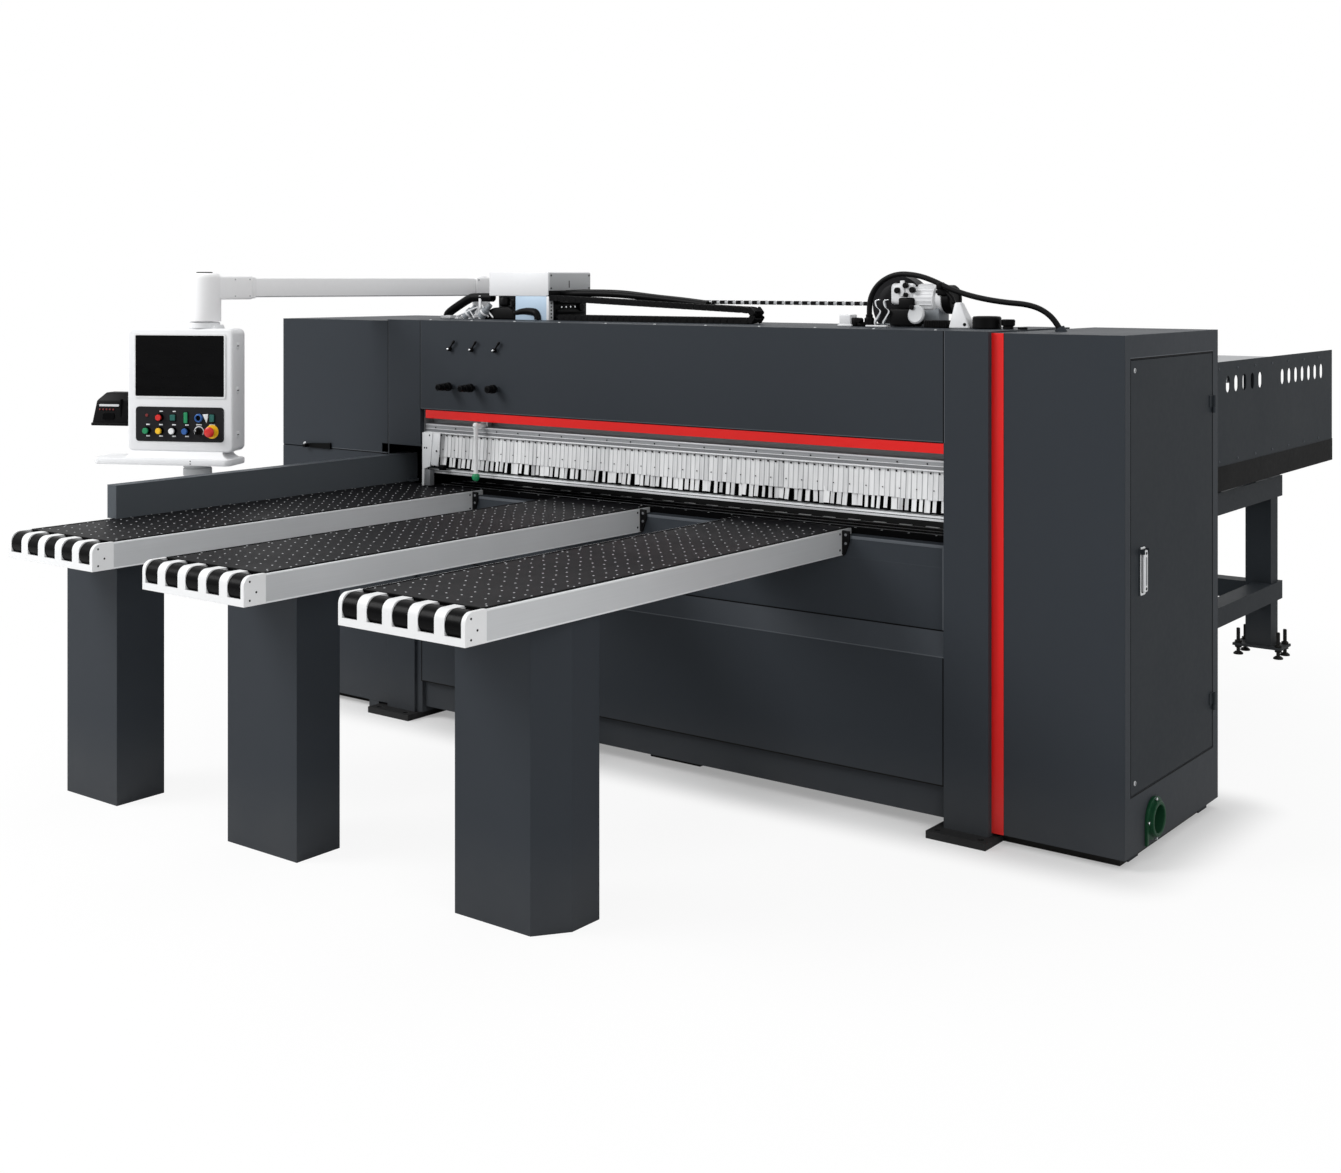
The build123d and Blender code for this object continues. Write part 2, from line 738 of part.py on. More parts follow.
def make_switchgear():
    x = right_x + sheet
    y0, y1 = right_cab_front + 90, right_cab_back - 90
    z0, z1 = door_low_z + 60, door_top_z - 60
    parts = [block(x + 25, x + 28, y0, y1, z0, z1)]
    for y in (y0 + 20, y1 - 60):
        for z in (z0 + 20, z1 - 60):
            parts.append(block(x, x + 25, y, y + 40, z, z + 40))
    for i in range(3):
        low = y0 + 40 + i * 195
        parts.append(block(x + 28, x + 188, low, low + 150, z1 - 380, z1 - 60))
    for i in range(7):
        low = y0 + 40 + i * 80
        parts.append(block(x + 28, x + 113, low, low + 60, z1 - 560, z1 - 460))
    for i in range(5):
        low = y0 + 40 + i * 112
        parts.append(block(x + 28, x + 128, low, low + 90, z1 - 780, z1 - 640))
    parts.append(block(x + 28, x + 148, y0 + 40, y0 + 330, z0 + 60, z0 + 320))
    parts.append(block(x + 28, x + 78, y0 + 380, y1 - 40, z0 + 60, z0 + 320))
    save("electrical_plate", *parts)


def make_port():
    x = right_cab_x
    flange = ring("x", (x, port_y, port_z), port_r, port_bore_r, 10)
    lip = ring("x", (x + 10, port_y, port_z), port_bore_r + 12, port_bore_r, 14)
    duct = ring("x", (x - 160, port_y, port_z), port_bore_r + 5, port_bore_r, 160)
    back = rod("x", (x - 166, port_y, port_z), port_bore_r + 20, 6)
    parts = [flange + lip, duct, back]
    for i in range(4):
        a = radians(45 + 90 * i)
        at = (x + 10, port_y + (port_r - 7) * cos(a), port_z + (port_r - 7) * sin(a))
        parts.append(rod("x", at, 5, 6))
    save("air_outlet", *parts)


def make_tables():
    rails, plates, caps, legs = [], [], [], []
    back = table_back_y
    for i, (x, y0) in enumerate(zip(table_x, table_front)):
        edge = table_w / 2
        inner = edge - rail_t
        head = y0 + cap_len
        for side in (-1, 1):
            a, b = sorted((x + side * edge, x + side * inner))
            rails.append(block(a, b, head, back, rail_low_z, bed_z - 2))
        for k in range(5):
            y = head + 20 + k * (back - head - 100) / 4
            rails.append(block(x - inner, x + inner, y, y + 60, rail_low_z, bed_z - top_plate_t))
        rails.append(block(x - 190, x + 190, back, base_front_y, rail_low_z + 5, bed_z - top_plate_t))
        plates.append(block(x - inner, x + inner, head, back, bed_z - top_plate_t, bed_z))
        caps.extend(end_cap(x, y0))
        bores = []
        for k in range(roller_n):
            cx = x + (k - (roller_n - 1) / 2) * roller_pitch
            at = (cx - roller_w / 2 + 2, y0 + roller_r, bed_z - roller_r)
            bores.append(ring("x", at, roller_r, axle_r + bore_gap, roller_w - 4))
        save(f"table_rollers_{i + 1}", *bores)
        lx, lw, ld = leg_size[i]
        lx = x + lx
        leg = pipe_z(lx, lx + lw, leg_front_y, leg_front_y + ld, 0, rail_low_z, leg_wall)
        if i == 2:
            leg = chamfered_leg(lx, lw, ld)
        legs.append(leg)
    save("table_rails", *rails)
    save("table_plates", *plates)
    save("table_end_caps", *caps)
    save("table_legs", *legs)


def chamfered_leg(x, w, d):
    cx, cy = leg_chamfer
    y = leg_front_y
    outer = [(x, y), (x + w - cx, y), (x + w, y + cy), (x + w, y + d), (x, y + d)]
    t = leg_wall
    inner = [
        (x + t, y + t), (x + w - cx - 3, y + t), (x + w - t, y + cy + 3), (x + w - t, y + d - t),
        (x + t, y + d - t),
    ]
    tall = rail_low_z
    return extrude(Polygon(*outer, align=None), tall) - extrude(Polygon(*inner, align=None), tall)


def end_cap(x, y0):
    edge = table_w / 2
    cap = block(x - edge, x + edge, y0, y0 + cap_len, rail_low_z, bed_z)
    top_front = cap.edges().filter_by(Axis.X).sort_by(lambda e: e.center().Z - e.center().Y)[-1]
    cap = fillet([top_front], 30)
    back = y0 + cap_len - cap_wall
    for k in range(roller_n):
        cx = x + (k - (roller_n - 1) / 2) * roller_pitch
        cap = cap - block(
            cx - roller_w / 2, cx + roller_w / 2, y0 - 5, y0 + cap_len, bed_z - 2 * roller_r + 14, bed_z + 5,
        )
        well = rod("x", (cx - roller_w / 2, y0 + roller_r, bed_z - roller_r), roller_r + 4, roller_w)
        cap = cap - (well & block(cx - 99, cx + 99, y0 + 4, back, rail_low_z + 6, bed_z))
    axle = rod("x", (x - edge + 6, y0 + roller_r, bed_z - roller_r), axle_r, table_w - 12)
    return [cap - axle, axle]


def make_fence():
    x0, x1 = fence_x, fence_x + fence_w
    top = bed_z + fence_h
    bar = pipe_y(x0, x1, fence_front_y + 6, fence_back_y, bed_z, top, fence_wall)
    end = block(x0, x1, fence_front_y, fence_front_y + 6, bed_z, top)
    foot = block(x1, x1 + 30, fence_back_y - 60, fence_back_y - 20, bed_z, bed_z + 12)
    save("side_fence", bar, end, foot)


def make_arm():
    px, py = post_at
    post = rod("z", (px, py, machine_top), 55, 12)
    post = post + rod("z", (px, py, machine_top + 12), arm_post_r, arm_z1 + 8 - machine_top - 12)
    post = post + rod("z", (px, py, machine_top + 12), 40, arm_z0 - run_gap - machine_top - 12)
    save("arm_post", post)
    ex, ey = elbow_at
    reach = hypot(ex - px, ey - py)
    beam = block(0, reach, -arm_w / 2, arm_w / 2, arm_z0, arm_z1)
    beam = beam + rod("z", (0, 0, arm_z0), 46, arm_z1 - arm_z0)
    beam = beam - rod("z", (0, 0, arm_z0), arm_post_r + bore_gap, arm_z1 - arm_z0)
    elbow = rod("z", (reach, 0, elbow_z0), elbow_r, elbow_z1 - elbow_z0)
    elbow = elbow + block(reach - 190, reach, -48, 48, arm_z0 - 8, arm_z1 + 9)
    inner = block(70, reach - 200, -arm_w / 2 + 5, arm_w / 2 - 5, arm_z0 + 5, arm_z1 - 5)
    arm = beam - inner + elbow
    arm = arm - rod("z", (reach, 0, elbow_z0), spigot_r + bore_gap, 130)
    aim = degrees(atan2(ey - py, ex - px))
    save("swing_arm", Pos(px, py, 0) * Rot(0, 0, aim) * arm)


def make_console():
    place = Pos(console_at[0], console_at[1], 0) * Rot(0, 0, console_turn)
    w, f, b = house_w / 2, face_y, house_d / 2
    shell = block(-w, w, f, b - sheet, house_z0, house_z1)
    shell = fillet(shell.edges().filter_by(Axis.Y), 22)
    shell = shell - block(-w + 4, w - 4, f + 4, b - sheet, house_z0 + 24, house_z1 - 24)
    back = block(-w + 3, w - 3, b - sheet, b, house_z0 + 20, house_z1 - 20)
    neck = rod("z", (console_off, 0, house_z1), 62, elbow_z0 - run_gap - house_z1)
    spigot = rod("z", (console_off, 0, elbow_z0 - run_gap), spigot_r, 110)
    save("console_housing", *[place * s for s in (shell, back, neck + spigot)])
    glass = block(-screen_w / 2, screen_w / 2, f - 4, f, screen_z0, screen_z0 + screen_h)
    save("console_screen", place * glass)
    make_keys(place)
    top = tray_z0 + tray_t
    slab = block(tray_left, tray_right, tray_front, tray_back, tray_z0, top)
    flare = [(f + 2, house_z0), (f + 90, house_z0), (f + 100, top), (f - 18, top)]
    tray = [
        fillet(slab.edges().filter_by(Axis.Z), tray_corner),
        profile_x(flare, skirt_left, skirt_right),
        rod("z", (stub_x, stub_y, stub_z0), stub_r, tray_z0 - stub_z0),
        block(-w - printer_w, -w, printer_front, printer_back, printer_z0, printer_z1),
    ]
    save("console_tray", *[place * s for s in tray])


def button_x(column):
    return (column - 2.5) * button_pitch


def make_keys(place):
    front = face_y - 3
    parts = [block(-keys_w / 2, keys_w / 2, front, face_y, keys_z0, keys_z0 + keys_h)]
    seats = {
        "red_button": (1, row_high_z), "green_button": (0, row_low_z), "yellow_button": (1, row_low_z),
        "white_button": (2, row_low_z), "blue_button": (3, row_low_z), "mode_selector": (4, row_low_z),
    }
    for node, (column, z) in seats.items():
        x = button_x(column)
        parts.append(ring("y", (x, front - 12, z), button_r + 4, button_r + run_gap, 12))
        cap = rod("y", (x, front - 19, z), button_r, 12)
        if node == "mode_selector":
            cap = cap + block(x - 4, x + 4, front - 30, front - 19, z - button_r + 1, z + button_r - 1)
        save(node, place * cap)
    for column, wide, tall in ((2, 22, 22), (3, 17, 42), (5, 22, 22)):
        x = button_x(column)
        low, high = row_high_z - tall / 2, row_high_z + tall / 2
        parts.append(block(x - wide / 2, x + wide / 2, front - 6, front, low, high))
    parts.append(rod("y", (button_x(0), front - 4, row_high_z + 8), 6, 4))
    parts.append(ring("y", (button_x(4), front - 10, row_high_z), 17, 11, 10))
    x = button_x(5)
    plate = rod("y", (x, front - 3, row_low_z), 27, 3)
    collar = ring("y", (x, front - 16, row_low_z), 17, 11 + run_gap, 13)
    parts.append(plate)
    parts.append(collar)
    stop = rod("y", (x, front - 34, row_low_z), 21, 12) + rod("y", (x, front - 22, row_low_z), 11, 14)
    save("emergency_stop", place * stop)
    save("button_panel", *[place * s for s in parts])


def make_controls():
    y = front_y
    for i, (x, length) in enumerate(zip(knob_x, knob_len)):
        knob = rod("y", (x, y - 8 - run_gap - length, knob_z), knob_r - 3, length)
        for k in range(3 if length > 60 else 2):
            low = y - 8 - run_gap - length + k * 26
            knob = knob + rod("y", (x, low, knob_z), knob_r, 19)
        knob = knob - rod("y", (x, y - 31, knob_z), 6 + bore_gap, 24)
        save(f"regulator_knob_{i + 1}", knob)
    for i, x in enumerate(lever_x):
        hub = rod("y", (x, y - 18, lever_z), 9, 14 - run_gap)
        stick = Pos(x, 0, lever_z) * Rot(0, 40, 0) * rod("z", (0, y - 12, 6), 4, 34)
        tip = Pos(x, 0, lever_z) * Rot(0, 40, 0) * Pos(0, y - 12, 40) * Sphere(6)
        lever = hub + stick + tip
        save(f"toggle_lever_{i + 1}", lever - rod("y", (x, y - 16 - run_gap, lever_z), 4 + bore_gap, 20))


def make_rear_frame():
    parts = []
    start = upright_back
    inner = side_x - side_w
    rows = [(y - rear_leg_d / 2, y + rear_leg_d / 2) for y in rear_leg_y]
    lx0, lx1 = rear_leg_x - rear_leg_w / 2, rear_leg_x + rear_leg_w / 2
    plate_top = foot_plate_z + foot_plate_t
    side = [pipe_y(inner, side_x, start, frame_end_y, side_z0, side_z1, 6)]
    for y0, y1 in rows:
        side.append(pipe_z(lx0, lx1, y0, y1, plate_top, side_z0, 6))
        mid = (y0 + y1) / 2
        px, py = foot_reach_x + foot_plate_side, foot_reach_y + foot_plate_side
        plate = block(rear_leg_x - px, rear_leg_x + px, mid - py, mid + py, foot_plate_z, plate_top)
        for dx in (-foot_reach_x, foot_reach_x):
            for dy in (-foot_reach_y, foot_reach_y):
                plate = plate - rod("z", (rear_leg_x + dx, mid + dy, foot_plate_z), 10.2, foot_plate_t)
        side.append(plate)
    low_rail = pipe_y(inner, side_x, rows[0][1], frame_end_y, low_z0, low_z1, 6)
    side.append(low_rail - block(lx0, lx1, *rows[1], low_z0, low_z1))
    for low, high in ((side_z0, side_z1), (low_z0, low_z1)):
        side.append(block(inner, side_x, frame_end_y, frame_end_y + end_t, low, high))
    for y in post_ys:
        low, high = push_rail_x - push_rail_w / 2, push_rail_x + push_rail_w / 2
        side.append(pipe_z(low, high, y - 30, y + 30, side_z1, push_rail_z0, 5))
    parts.extend(side)
    parts.extend(mirror_x(*side))
    for y0, y1 in rows:
        parts.append(pipe_x(-lx0, lx0, y0, y1, low_z0, low_z1, 6))
    save("rear_frame", *parts)
    feet = []
    for mid in rear_leg_y:
        for dx in (-foot_reach_x, foot_reach_x):
            for dy in (-foot_reach_y, foot_reach_y):
                at = (rear_leg_x + dx, mid + dy)
                pad = rod("z", (*at, 0), 24, 14) + rod("z", (*at, 14), 10, 116)
                pad = pad + rod("z", (*at, foot_plate_z - 12), 17, 12)
                feet.append(pad + rod("z", (*at, plate_top), 17, 12))
    save("levelling_feet", *feet, *mirror_x(*feet))


def make_guard():
    outer, skin = guard_x, guard_x - guard_t
    wall = block(skin, outer, guard_front_y, guard_back_y, guard_z0, guard_z1)
    for first, count, pitch in zip(slot_first, slot_counts, slot_pitch):
        for k in range(count):
            y = first + k * pitch
            hole = block(skin, outer, y - slot_w / 2, y + slot_w / 2,
                         slot_z - slot_h / 2 + slot_w / 2, slot_z + slot_h / 2 - slot_w / 2)
            for z in (slot_z - slot_h / 2 + slot_w / 2, slot_z + slot_h / 2 - slot_w / 2):
                hole = hole + rod("x", (skin, y, z), slot_w / 2, guard_t)
            wall = wall - hole
    side = [wall, block(skin, outer + 2, guard_front_y, guard_back_y, guard_low_z, guard_z0)]
    ties = push_rail_x + push_rail_w / 2
    for y in post_ys[1:]:
        side.append(block(ties, skin, y - 20, y + 20, 1180, 1220))
    rear = block(-skin, skin, guard_back_y - guard_t, guard_back_y, guard_z0, guard_rear_z1)
    save("rear_guard", *side, *mirror_x(*side), rear)


def make_rear_table():
    parts = []
    inner = push_rail_x - push_rail_w / 2 - 4
    low = bed_z - bar_h
    for y in cross_ys:
        parts.append(pipe_x(-inner, inner, y - 30, y + 30, side_z1, low, 5))
    for k in range(bar_n):
        x = (k - (bar_n - 1) / 2) * bar_pitch
        parts.append(pipe_y(x - bar_w / 2, x + bar_w / 2, base_back_y, bar_back_y, low, bed_z, 5))
    save("rear_table", *parts)


def make_pusher():
    low, high = push_rail_x - push_rail_w / 2, push_rail_x + push_rail_w / 2
    start = upright_back
    side = [
        pipe_y(low, high, start, push_rail_back, push_rail_z0, guard_z1, 5),
        block(low - 22, low, start, push_rail_back, push_rail_z0, push_rail_z0 + 14),
        block(
            guard_x - guard_t - cover_w, low, start + cover_in_y, push_rail_back,
            guard_z1 - cover_t, guard_z1,
        ),
        block(high, guard_x - guard_t, guard_front_y, push_rail_back, guard_z1 - cover_t, guard_z1),
    ]
    save("pusher_rails", *side, *mirror_x(*side))
    reach = low - 26
    y0, y1 = pusher_y, pusher_y + pusher_d
    z1 = guard_z1 - 20
    z0 = z1 - pusher_h
    shoe_z = push_rail_z0 + 14 + run_gap
    parts = [pipe_x(-reach, reach, y0, y1, z0, z1, 6)]
    for a, b in ((reach, low - 2), (-low + 2, -reach)):
        parts.append(block(a, b, y0, y1, shoe_z, z1))
    tip = y0 - grip_reach
    for x in grip_x:
        plate = block(x - 14, x + 14, y0 - 70, y0, bed_z + 4, z1)
        plate = plate + block(x - 14, x + 36, tip, y0 - 70, bed_z + 4, bed_z + 16)
        parts.append(plate - rod("x", (x - 14, y0 - 40, jaw_z), 12 + bore_gap, 28))
    save("pusher_beam", *parts)
    shaft = rod("x", (grip_x[0] - 60, y0 - 40, jaw_z), 12, grip_x[-1] - grip_x[0] + 120)
    jaws = shaft
    for x in grip_x:
        jaw = block(x + 16, x + 34, tip + 10, y0 - 40, jaw_z - 14, jaw_z + 14)
        jaws = jaws + jaw + block(x + 14 + run_gap, x + 40, y0 - 62, y0 - 18, jaw_z - 20, jaw_z + 20)
    save("gripper_jaws", jaws)


def make_drive():
    z = machine_top
    x0, x1, y0, y1 = box_x0, box_x1, gear_y, box_y1
    lid = box_z1 - 4
    parts = [
        pipe_z(x0, x1, y0, y1, box_z0, lid, 4),
        block(x0, x1, y0, y1, lid, box_z1),
        block(x1 - 190, x1, y0, y0 + 5, z, box_z0),
        block(x1 - 12, x1, y0 + 5, y0 + 30, z, box_z0),
        block(x0 + 20, x0 + 26, y0 + 40, y1, z, box_z0),
        block(x1 - 150, x1 - 6, y0 + 40, y1 - 12, z, box_z0),
        block(x1, chain_end_x, y0 + 72, y0 + 90, tray_line_z - 10, tray_line_z + 8),
        block(chain_end_x, motor_x - cover_in - cover_r, y0 + 72, y0 + 90, tray_line_z - 10, tray_line_z + 8),
    ]
    for x in [inset - half for inset in link_in]:
        parts.append(rod("z", (x, y0 + 60, z), 16, 66))
        parts.append(rod("z", (x, y0 + 60, z + 66), 22, 24))
    parts.append(block(link_in[0] - 15 - half, x0 + 20, y0 + 95, y0 + 125, z, z + 34))
    save("top_drive_box", *parts)
    y0, y1 = gear_y, gear_y + chain_w
    t = chain_t
    mid_z = z + loop_r
    top = z + 2 * loop_r
    run = [
        (x1, chain_start_z - t), (chain_end_x, top - t), (chain_end_x, top), (x1, chain_start_z),
    ]
    upper = profile_y(run, y0, y1)
    bend = ring("y", (chain_end_x, y0, mid_z), loop_r, loop_r - t, chain_w)
    bend = bend & block(chain_end_x, chain_end_x + 80, y0, y1, z, z + 100)
    lower = block(x1 + 60, chain_end_x, y0, y1, z, z + t)
    save("drag_chain", upper + bend + lower)


def make_gearmotor():
    z = machine_top
    x, y, c = motor_x, motor_y, motor_z
    cover = rod("y", (x - cover_in, y - 30, cover_z), cover_r, 60)
    cover = cover & block(x - 200, x + 100, y - 30, y + 30, z, z + 300)
    drive = cover + block(x - 69, x + 39, y - 60, y - 30, cover_z - 23, cover_z + 88)
    drive = drive + rod("x", (x + 20, y, c), 55, 90) + rod("x", (x + 110, y, c), 48, 24)
    drive = drive + rod("x", (x + 134, y, c), 52, 34)
    drive = drive + block(x + 120, x + 160, y - 58, y - 20, c + 15, c + 56)
    drive = drive + rod("y", (x + 54, y - 90, z + 45), 35, 10) + rod("y", (x + 30, y - 80, z + 62), 9, 20)
    drive = drive + block(mount_x, x + 180, y - 45, y + 75, z, z + 12)
    drive = drive + block(x + 60, x + 120, y - 40, y + 40, z + 12, c - 20)
    parts = [drive]
    start_x, start_z = cable_path[0]
    parts.append(rod("z", (start_x, gear_y, z), gland_r, start_z - z))
    parts.append(block(x - 265, x - 217, gear_y - 20, gear_y + 30, z, z + 43))
    parts.append(block(x + 85, x + 180, gear_y - 20, gear_y + 18, z, z + 28))
    up = (Align.CENTER, Align.CENTER, Align.MIN)
    parts.append(Pos(half - tower_in, gear_y, z) * Cone(40, 13, 92, align=up))
    parts.append(rod("z", (half + cup_out[0], gear_y, z), 50, 44))
    parts.append(rod("z", (half + cup_out[1], gear_y, z), 24, 34))
    save("lift_gearmotor", *parts)
    save("motor_cable", make_cable())


def make_cable():
    points = [Vector(px, gear_y, pz) for px, pz in cable_path]
    radii = []
    for a, b, c in zip(points, points[1:], points[2:]):
        half_turn = radians((b - a).get_angle(c - b)) / 2
        radii.append(0.45 * min((b - a).length, (c - b).length) / tan(half_turn))
    print("cable radii", [round(r) for r in radii])
    line = FilletPolyline(*points, radius=radii)
    start = Plane(origin=points[0], z_dir=points[1] - points[0])
    cable = sweep(start * Circle(cable_r), path=line)
    print("cable volume against section times length", cable.volume / (pi * cable_r**2 * line.length))
    return cable


make_uprights()
make_base()
make_bed()
make_lower_panel()
make_upper_beam()
make_trims()
make_curtain()
make_clamp()
make_saw()
make_left_cabinet()
make_right_cabinet()
make_door()
make_switchgear()
make_port()
make_tables()
make_fence()
make_arm()
make_console()
make_controls()
make_rear_frame()
make_guard()
make_rear_table()
make_pusher()
make_drive()
make_gearmotor()
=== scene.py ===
from itertools import product
from math import atan2, cos, pi, radians, sin

import bmesh
import bpy
from mathutils import Euler, Matrix, Vector


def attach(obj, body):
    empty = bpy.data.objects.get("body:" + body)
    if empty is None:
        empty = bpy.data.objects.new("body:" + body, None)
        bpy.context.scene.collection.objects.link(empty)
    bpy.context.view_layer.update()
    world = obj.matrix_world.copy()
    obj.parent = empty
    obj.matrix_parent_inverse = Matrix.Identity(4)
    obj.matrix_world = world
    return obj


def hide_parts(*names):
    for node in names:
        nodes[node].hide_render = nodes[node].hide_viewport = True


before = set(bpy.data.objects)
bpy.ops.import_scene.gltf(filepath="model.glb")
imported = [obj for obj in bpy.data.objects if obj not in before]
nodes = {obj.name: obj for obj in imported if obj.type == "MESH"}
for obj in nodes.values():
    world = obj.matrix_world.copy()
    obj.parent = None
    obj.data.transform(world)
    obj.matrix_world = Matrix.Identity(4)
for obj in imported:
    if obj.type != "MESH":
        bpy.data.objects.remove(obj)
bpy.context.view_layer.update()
print("frame loaded:", len(nodes), "nodes")


def newObject(name, data):
    made = bpy.data.objects.new(name, data)
    bpy.context.scene.collection.objects.link(made)
    return made


def angles(degrees):
    return [radians(a) for a in degrees]


# Viewpoint of the picture
viewpoint = {
    "place": (3.947, -5.271, 1.860), "turn": (90.0, 0.0, 37.3), "lens": 45.42, "sensor": 36.0, "shiftY": -0.2286,
    "farthest": 200,
}
eye = bpy.data.cameras.new("pictureCamera")
eye.sensor_width, eye.lens = viewpoint["sensor"], viewpoint["lens"]
eye.shift_y, eye.clip_end = viewpoint["shiftY"], viewpoint["farthest"]
eyeObject = newObject("pictureCamera", eye)
eyeObject.location = viewpoint["place"]
eyeObject.rotation_euler = angles(viewpoint["turn"])
bpy.context.scene.camera = eyeObject
bpy.context.scene.view_settings.view_transform = "Standard"


class Wire:  # one socket, with operators that build Math nodes
    def __init__(self, tree, socket=None):
        self.tree, self.socket = tree, socket

    def node(self, kind, settings={}, links={}, out=0):
        made = self.tree.nodes.new(kind)
        for key, value in settings.items():
            setattr(made, key, value)
        for key, value in links.items():
            if isinstance(value, Wire):
                self.tree.links.new(value.socket, made.inputs[key])
            elif value is not None:
                made.inputs[key].default_value = value
        return Wire(self.tree, made.outputs[out]) if made.outputs else None

    def maths(self, operation, *terms):
        return self.node("ShaderNodeMath", {"operation": operation}, dict(enumerate(terms)))

    def vectors(self, operation, *terms, out=0):
        return self.node("ShaderNodeVectorMath", {"operation": operation}, dict(enumerate(terms)), out)

    def pair(operation):  # the plain and the reflected operator
        return (lambda self, other: self.maths(operation, self, other),
                lambda self, other: self.maths(operation, other, self))

    __add__, __radd__ = pair("ADD")
    __sub__, __rsub__ = pair("SUBTRACT")
    __mul__, __rmul__ = pair("MULTIPLY")
    __truediv__, __rtruediv__ = pair("DIVIDE")

    def __lt__(self, other):
        return self.maths("LESS_THAN", self, other)

    def step(self, low, high):  # 0 below low, 1 above high, smooth between
        return self.node("ShaderNodeMapRange", {"interpolation_type": "SMOOTHSTEP"},
                         {"Value": self, "From Min": low, "From Max": high})

    def axis(self, letter):
        return self.node("ShaderNodeSeparateXYZ", {}, {0: self}, letter)

    def stretch(self, scale, turn=(0, 0, 0)):
        return self.node("ShaderNodeMapping", {}, {"Vector": self, "Scale": scale, "Rotation": angles(turn)})

    def noise(self, scale, detail=3.0, rough=0.55):
        return self.node("ShaderNodeTexNoise", {},
                         {"Vector": self, "Scale": scale, "Detail": detail, "Roughness": rough})

    def blend(self, first, second):  # self is the share of the second colour
        return self.node("ShaderNodeMix", {"data_type": "RGBA"}, {0: self, 6: first, 7: second}, 2)

    def relief(self, strength, depth, under=None):
        return self.node("ShaderNodeBump", {},
                         {"Height": self, "Strength": strength, "Distance": depth, "Normal": under})


def srgb(*levels):
    shares = [v / 255 for v in levels]
    return (*[v / 12.92 if v <= 0.04045 else ((v + 0.055) / 1.055) ** 2.4 for v in shares], 1.0)


def shaded(share, colour, low, high):  # from a darker to a lighter shade of one colour
    return share.blend(*[(*[v * factor for v in srgb(*colour)[:3]], 1.0) for factor in (low, high)])


def mixed(first, share, second, otherShare, middle=0.5):  # two noises about a middle value
    return (first - 0.5) * share + (second - 0.5) * otherShare + middle


finishes = {}


def newFinish(name, **fixed):
    finish = finishes[name] = bpy.data.materials.new(name)
    finish.use_nodes = True
    shader = finish.node_tree.nodes["Principled BSDF"]
    for key, value in fixed.items():
        shader.inputs[key.replace("_", " ")].default_value = value

    def feed(**links):
        for key, value in links.items():
            finish.node_tree.links.new(value.socket, shader.inputs[key.replace("_", " ")])
    return Wire(finish.node_tree).node("ShaderNodeTexCoord", out="Object"), feed


def roundEdges(place, radius):
    return place.node("ShaderNodeBevel", {"samples": 6}, {"Radius": radius})


# Powder coat: fine orange peel, faint cloudiness, softened edges, a little dust low down
dust = {"top": 0.32, "share": 0.10, "colour": srgb(150, 146, 140)}
paint = {  # colour, roughness, specular, edge radius; below a height another colour
    "darkPaint": ((50, 54, 59), 0.48, 0.08, 0.0022),
    "guardPaint": ((50, 54, 58), 0.52, 0.05, 0.0015, 1.0245, (5, 5, 6)),
    # painted light: a lighter copy of the dark paint, for the slope of the lower panel's fold
    "ledgePaint": ((61, 65, 70), 0.48, 0.08, 0.0022),
    # painted shade: a darker copy of the dark paint, for the door and the rear frame
    "doorPaint": ((43, 47, 51), 0.50, 0.06, 0.0022),
    "uprightPaint": ((50, 54, 59), 0.48, 0.08, 0.0022, 0.0255, (27, 29, 32)),
    # black of real parts, also of the plinth boxes that are a painted shadow under the cabinets
    "blackPaint": ((12, 13, 14), 0.42, 0.08, 0.0012),
    # painted light: a lighter copy of the dark paint, for the side fence
    "fencePaint": ((80, 85, 90), 0.48, 0.08, 0.0022),
    "bedBlack": ((9, 9, 10), 0.75, 0.01, 0.0010),
    # pale paint; on the thin lines along panel joints, folds and the fence it is a painted highlight; the guard rivet
    # heads use it too
    "edgePaint": ((82, 86, 91), 0.44, 0.12, 0.0006),
    # black of dark joints and trims, also painted shade: the line at the top of the lower panel's fold and the sheet
    # behind the louvre slats
    "seamBlack": ((6, 6, 7), 0.60, 0.05, 0.0004),
    "greyPaint": ((180, 182, 184), 0.42, 0.40, 0.0015),
    # painted light: a lighter copy of the white paint, for the swing arm
    "armPaint": ((244, 244, 245), 0.42, 0.40, 0.0025),
    "whitePaint": ((229, 230, 232), 0.38, 0.40, 0.0025),
    "redPaint": ((217, 21, 18), 0.34, 0.35, 0.0012),
    "gearPaint": ((132, 137, 142), 0.45, 0.40, 0.0015),
    "bluePaint": ((186, 208, 228), 0.40, 0.40, 0.0010),
    "greenPaint": ((0, 60, 34), 0.36, 0.10, 0.0015),
}


def makePaint(name, colour, rough, specular, edge, height=None, below=None):
    place, feed = newFinish(name, Specular_IOR_Level=specular)
    cloud, fine, peel = place.noise(2.3, 4.0, 0.6), place.noise(46.0, 2.0), place.noise(420.0, 2.0, 0.5)
    tone = shaded(mixed(cloud, 0.30, fine, 0.14), colour, 0.90, 1.10)
    if below:
        tone = (place.axis("Z") < height).blend(tone, srgb(*below))
    dusty = (dust["top"] - place.axis("Z")).step(0.0, dust["top"]) * cloud * dust["share"]
    feed(Base_Color=dusty.blend(tone, dust["colour"]), Roughness=mixed(cloud, 0.16, fine, 0.10, rough),
         Normal=peel.relief(0.10, 0.0006, roundEdges(place, edge)))


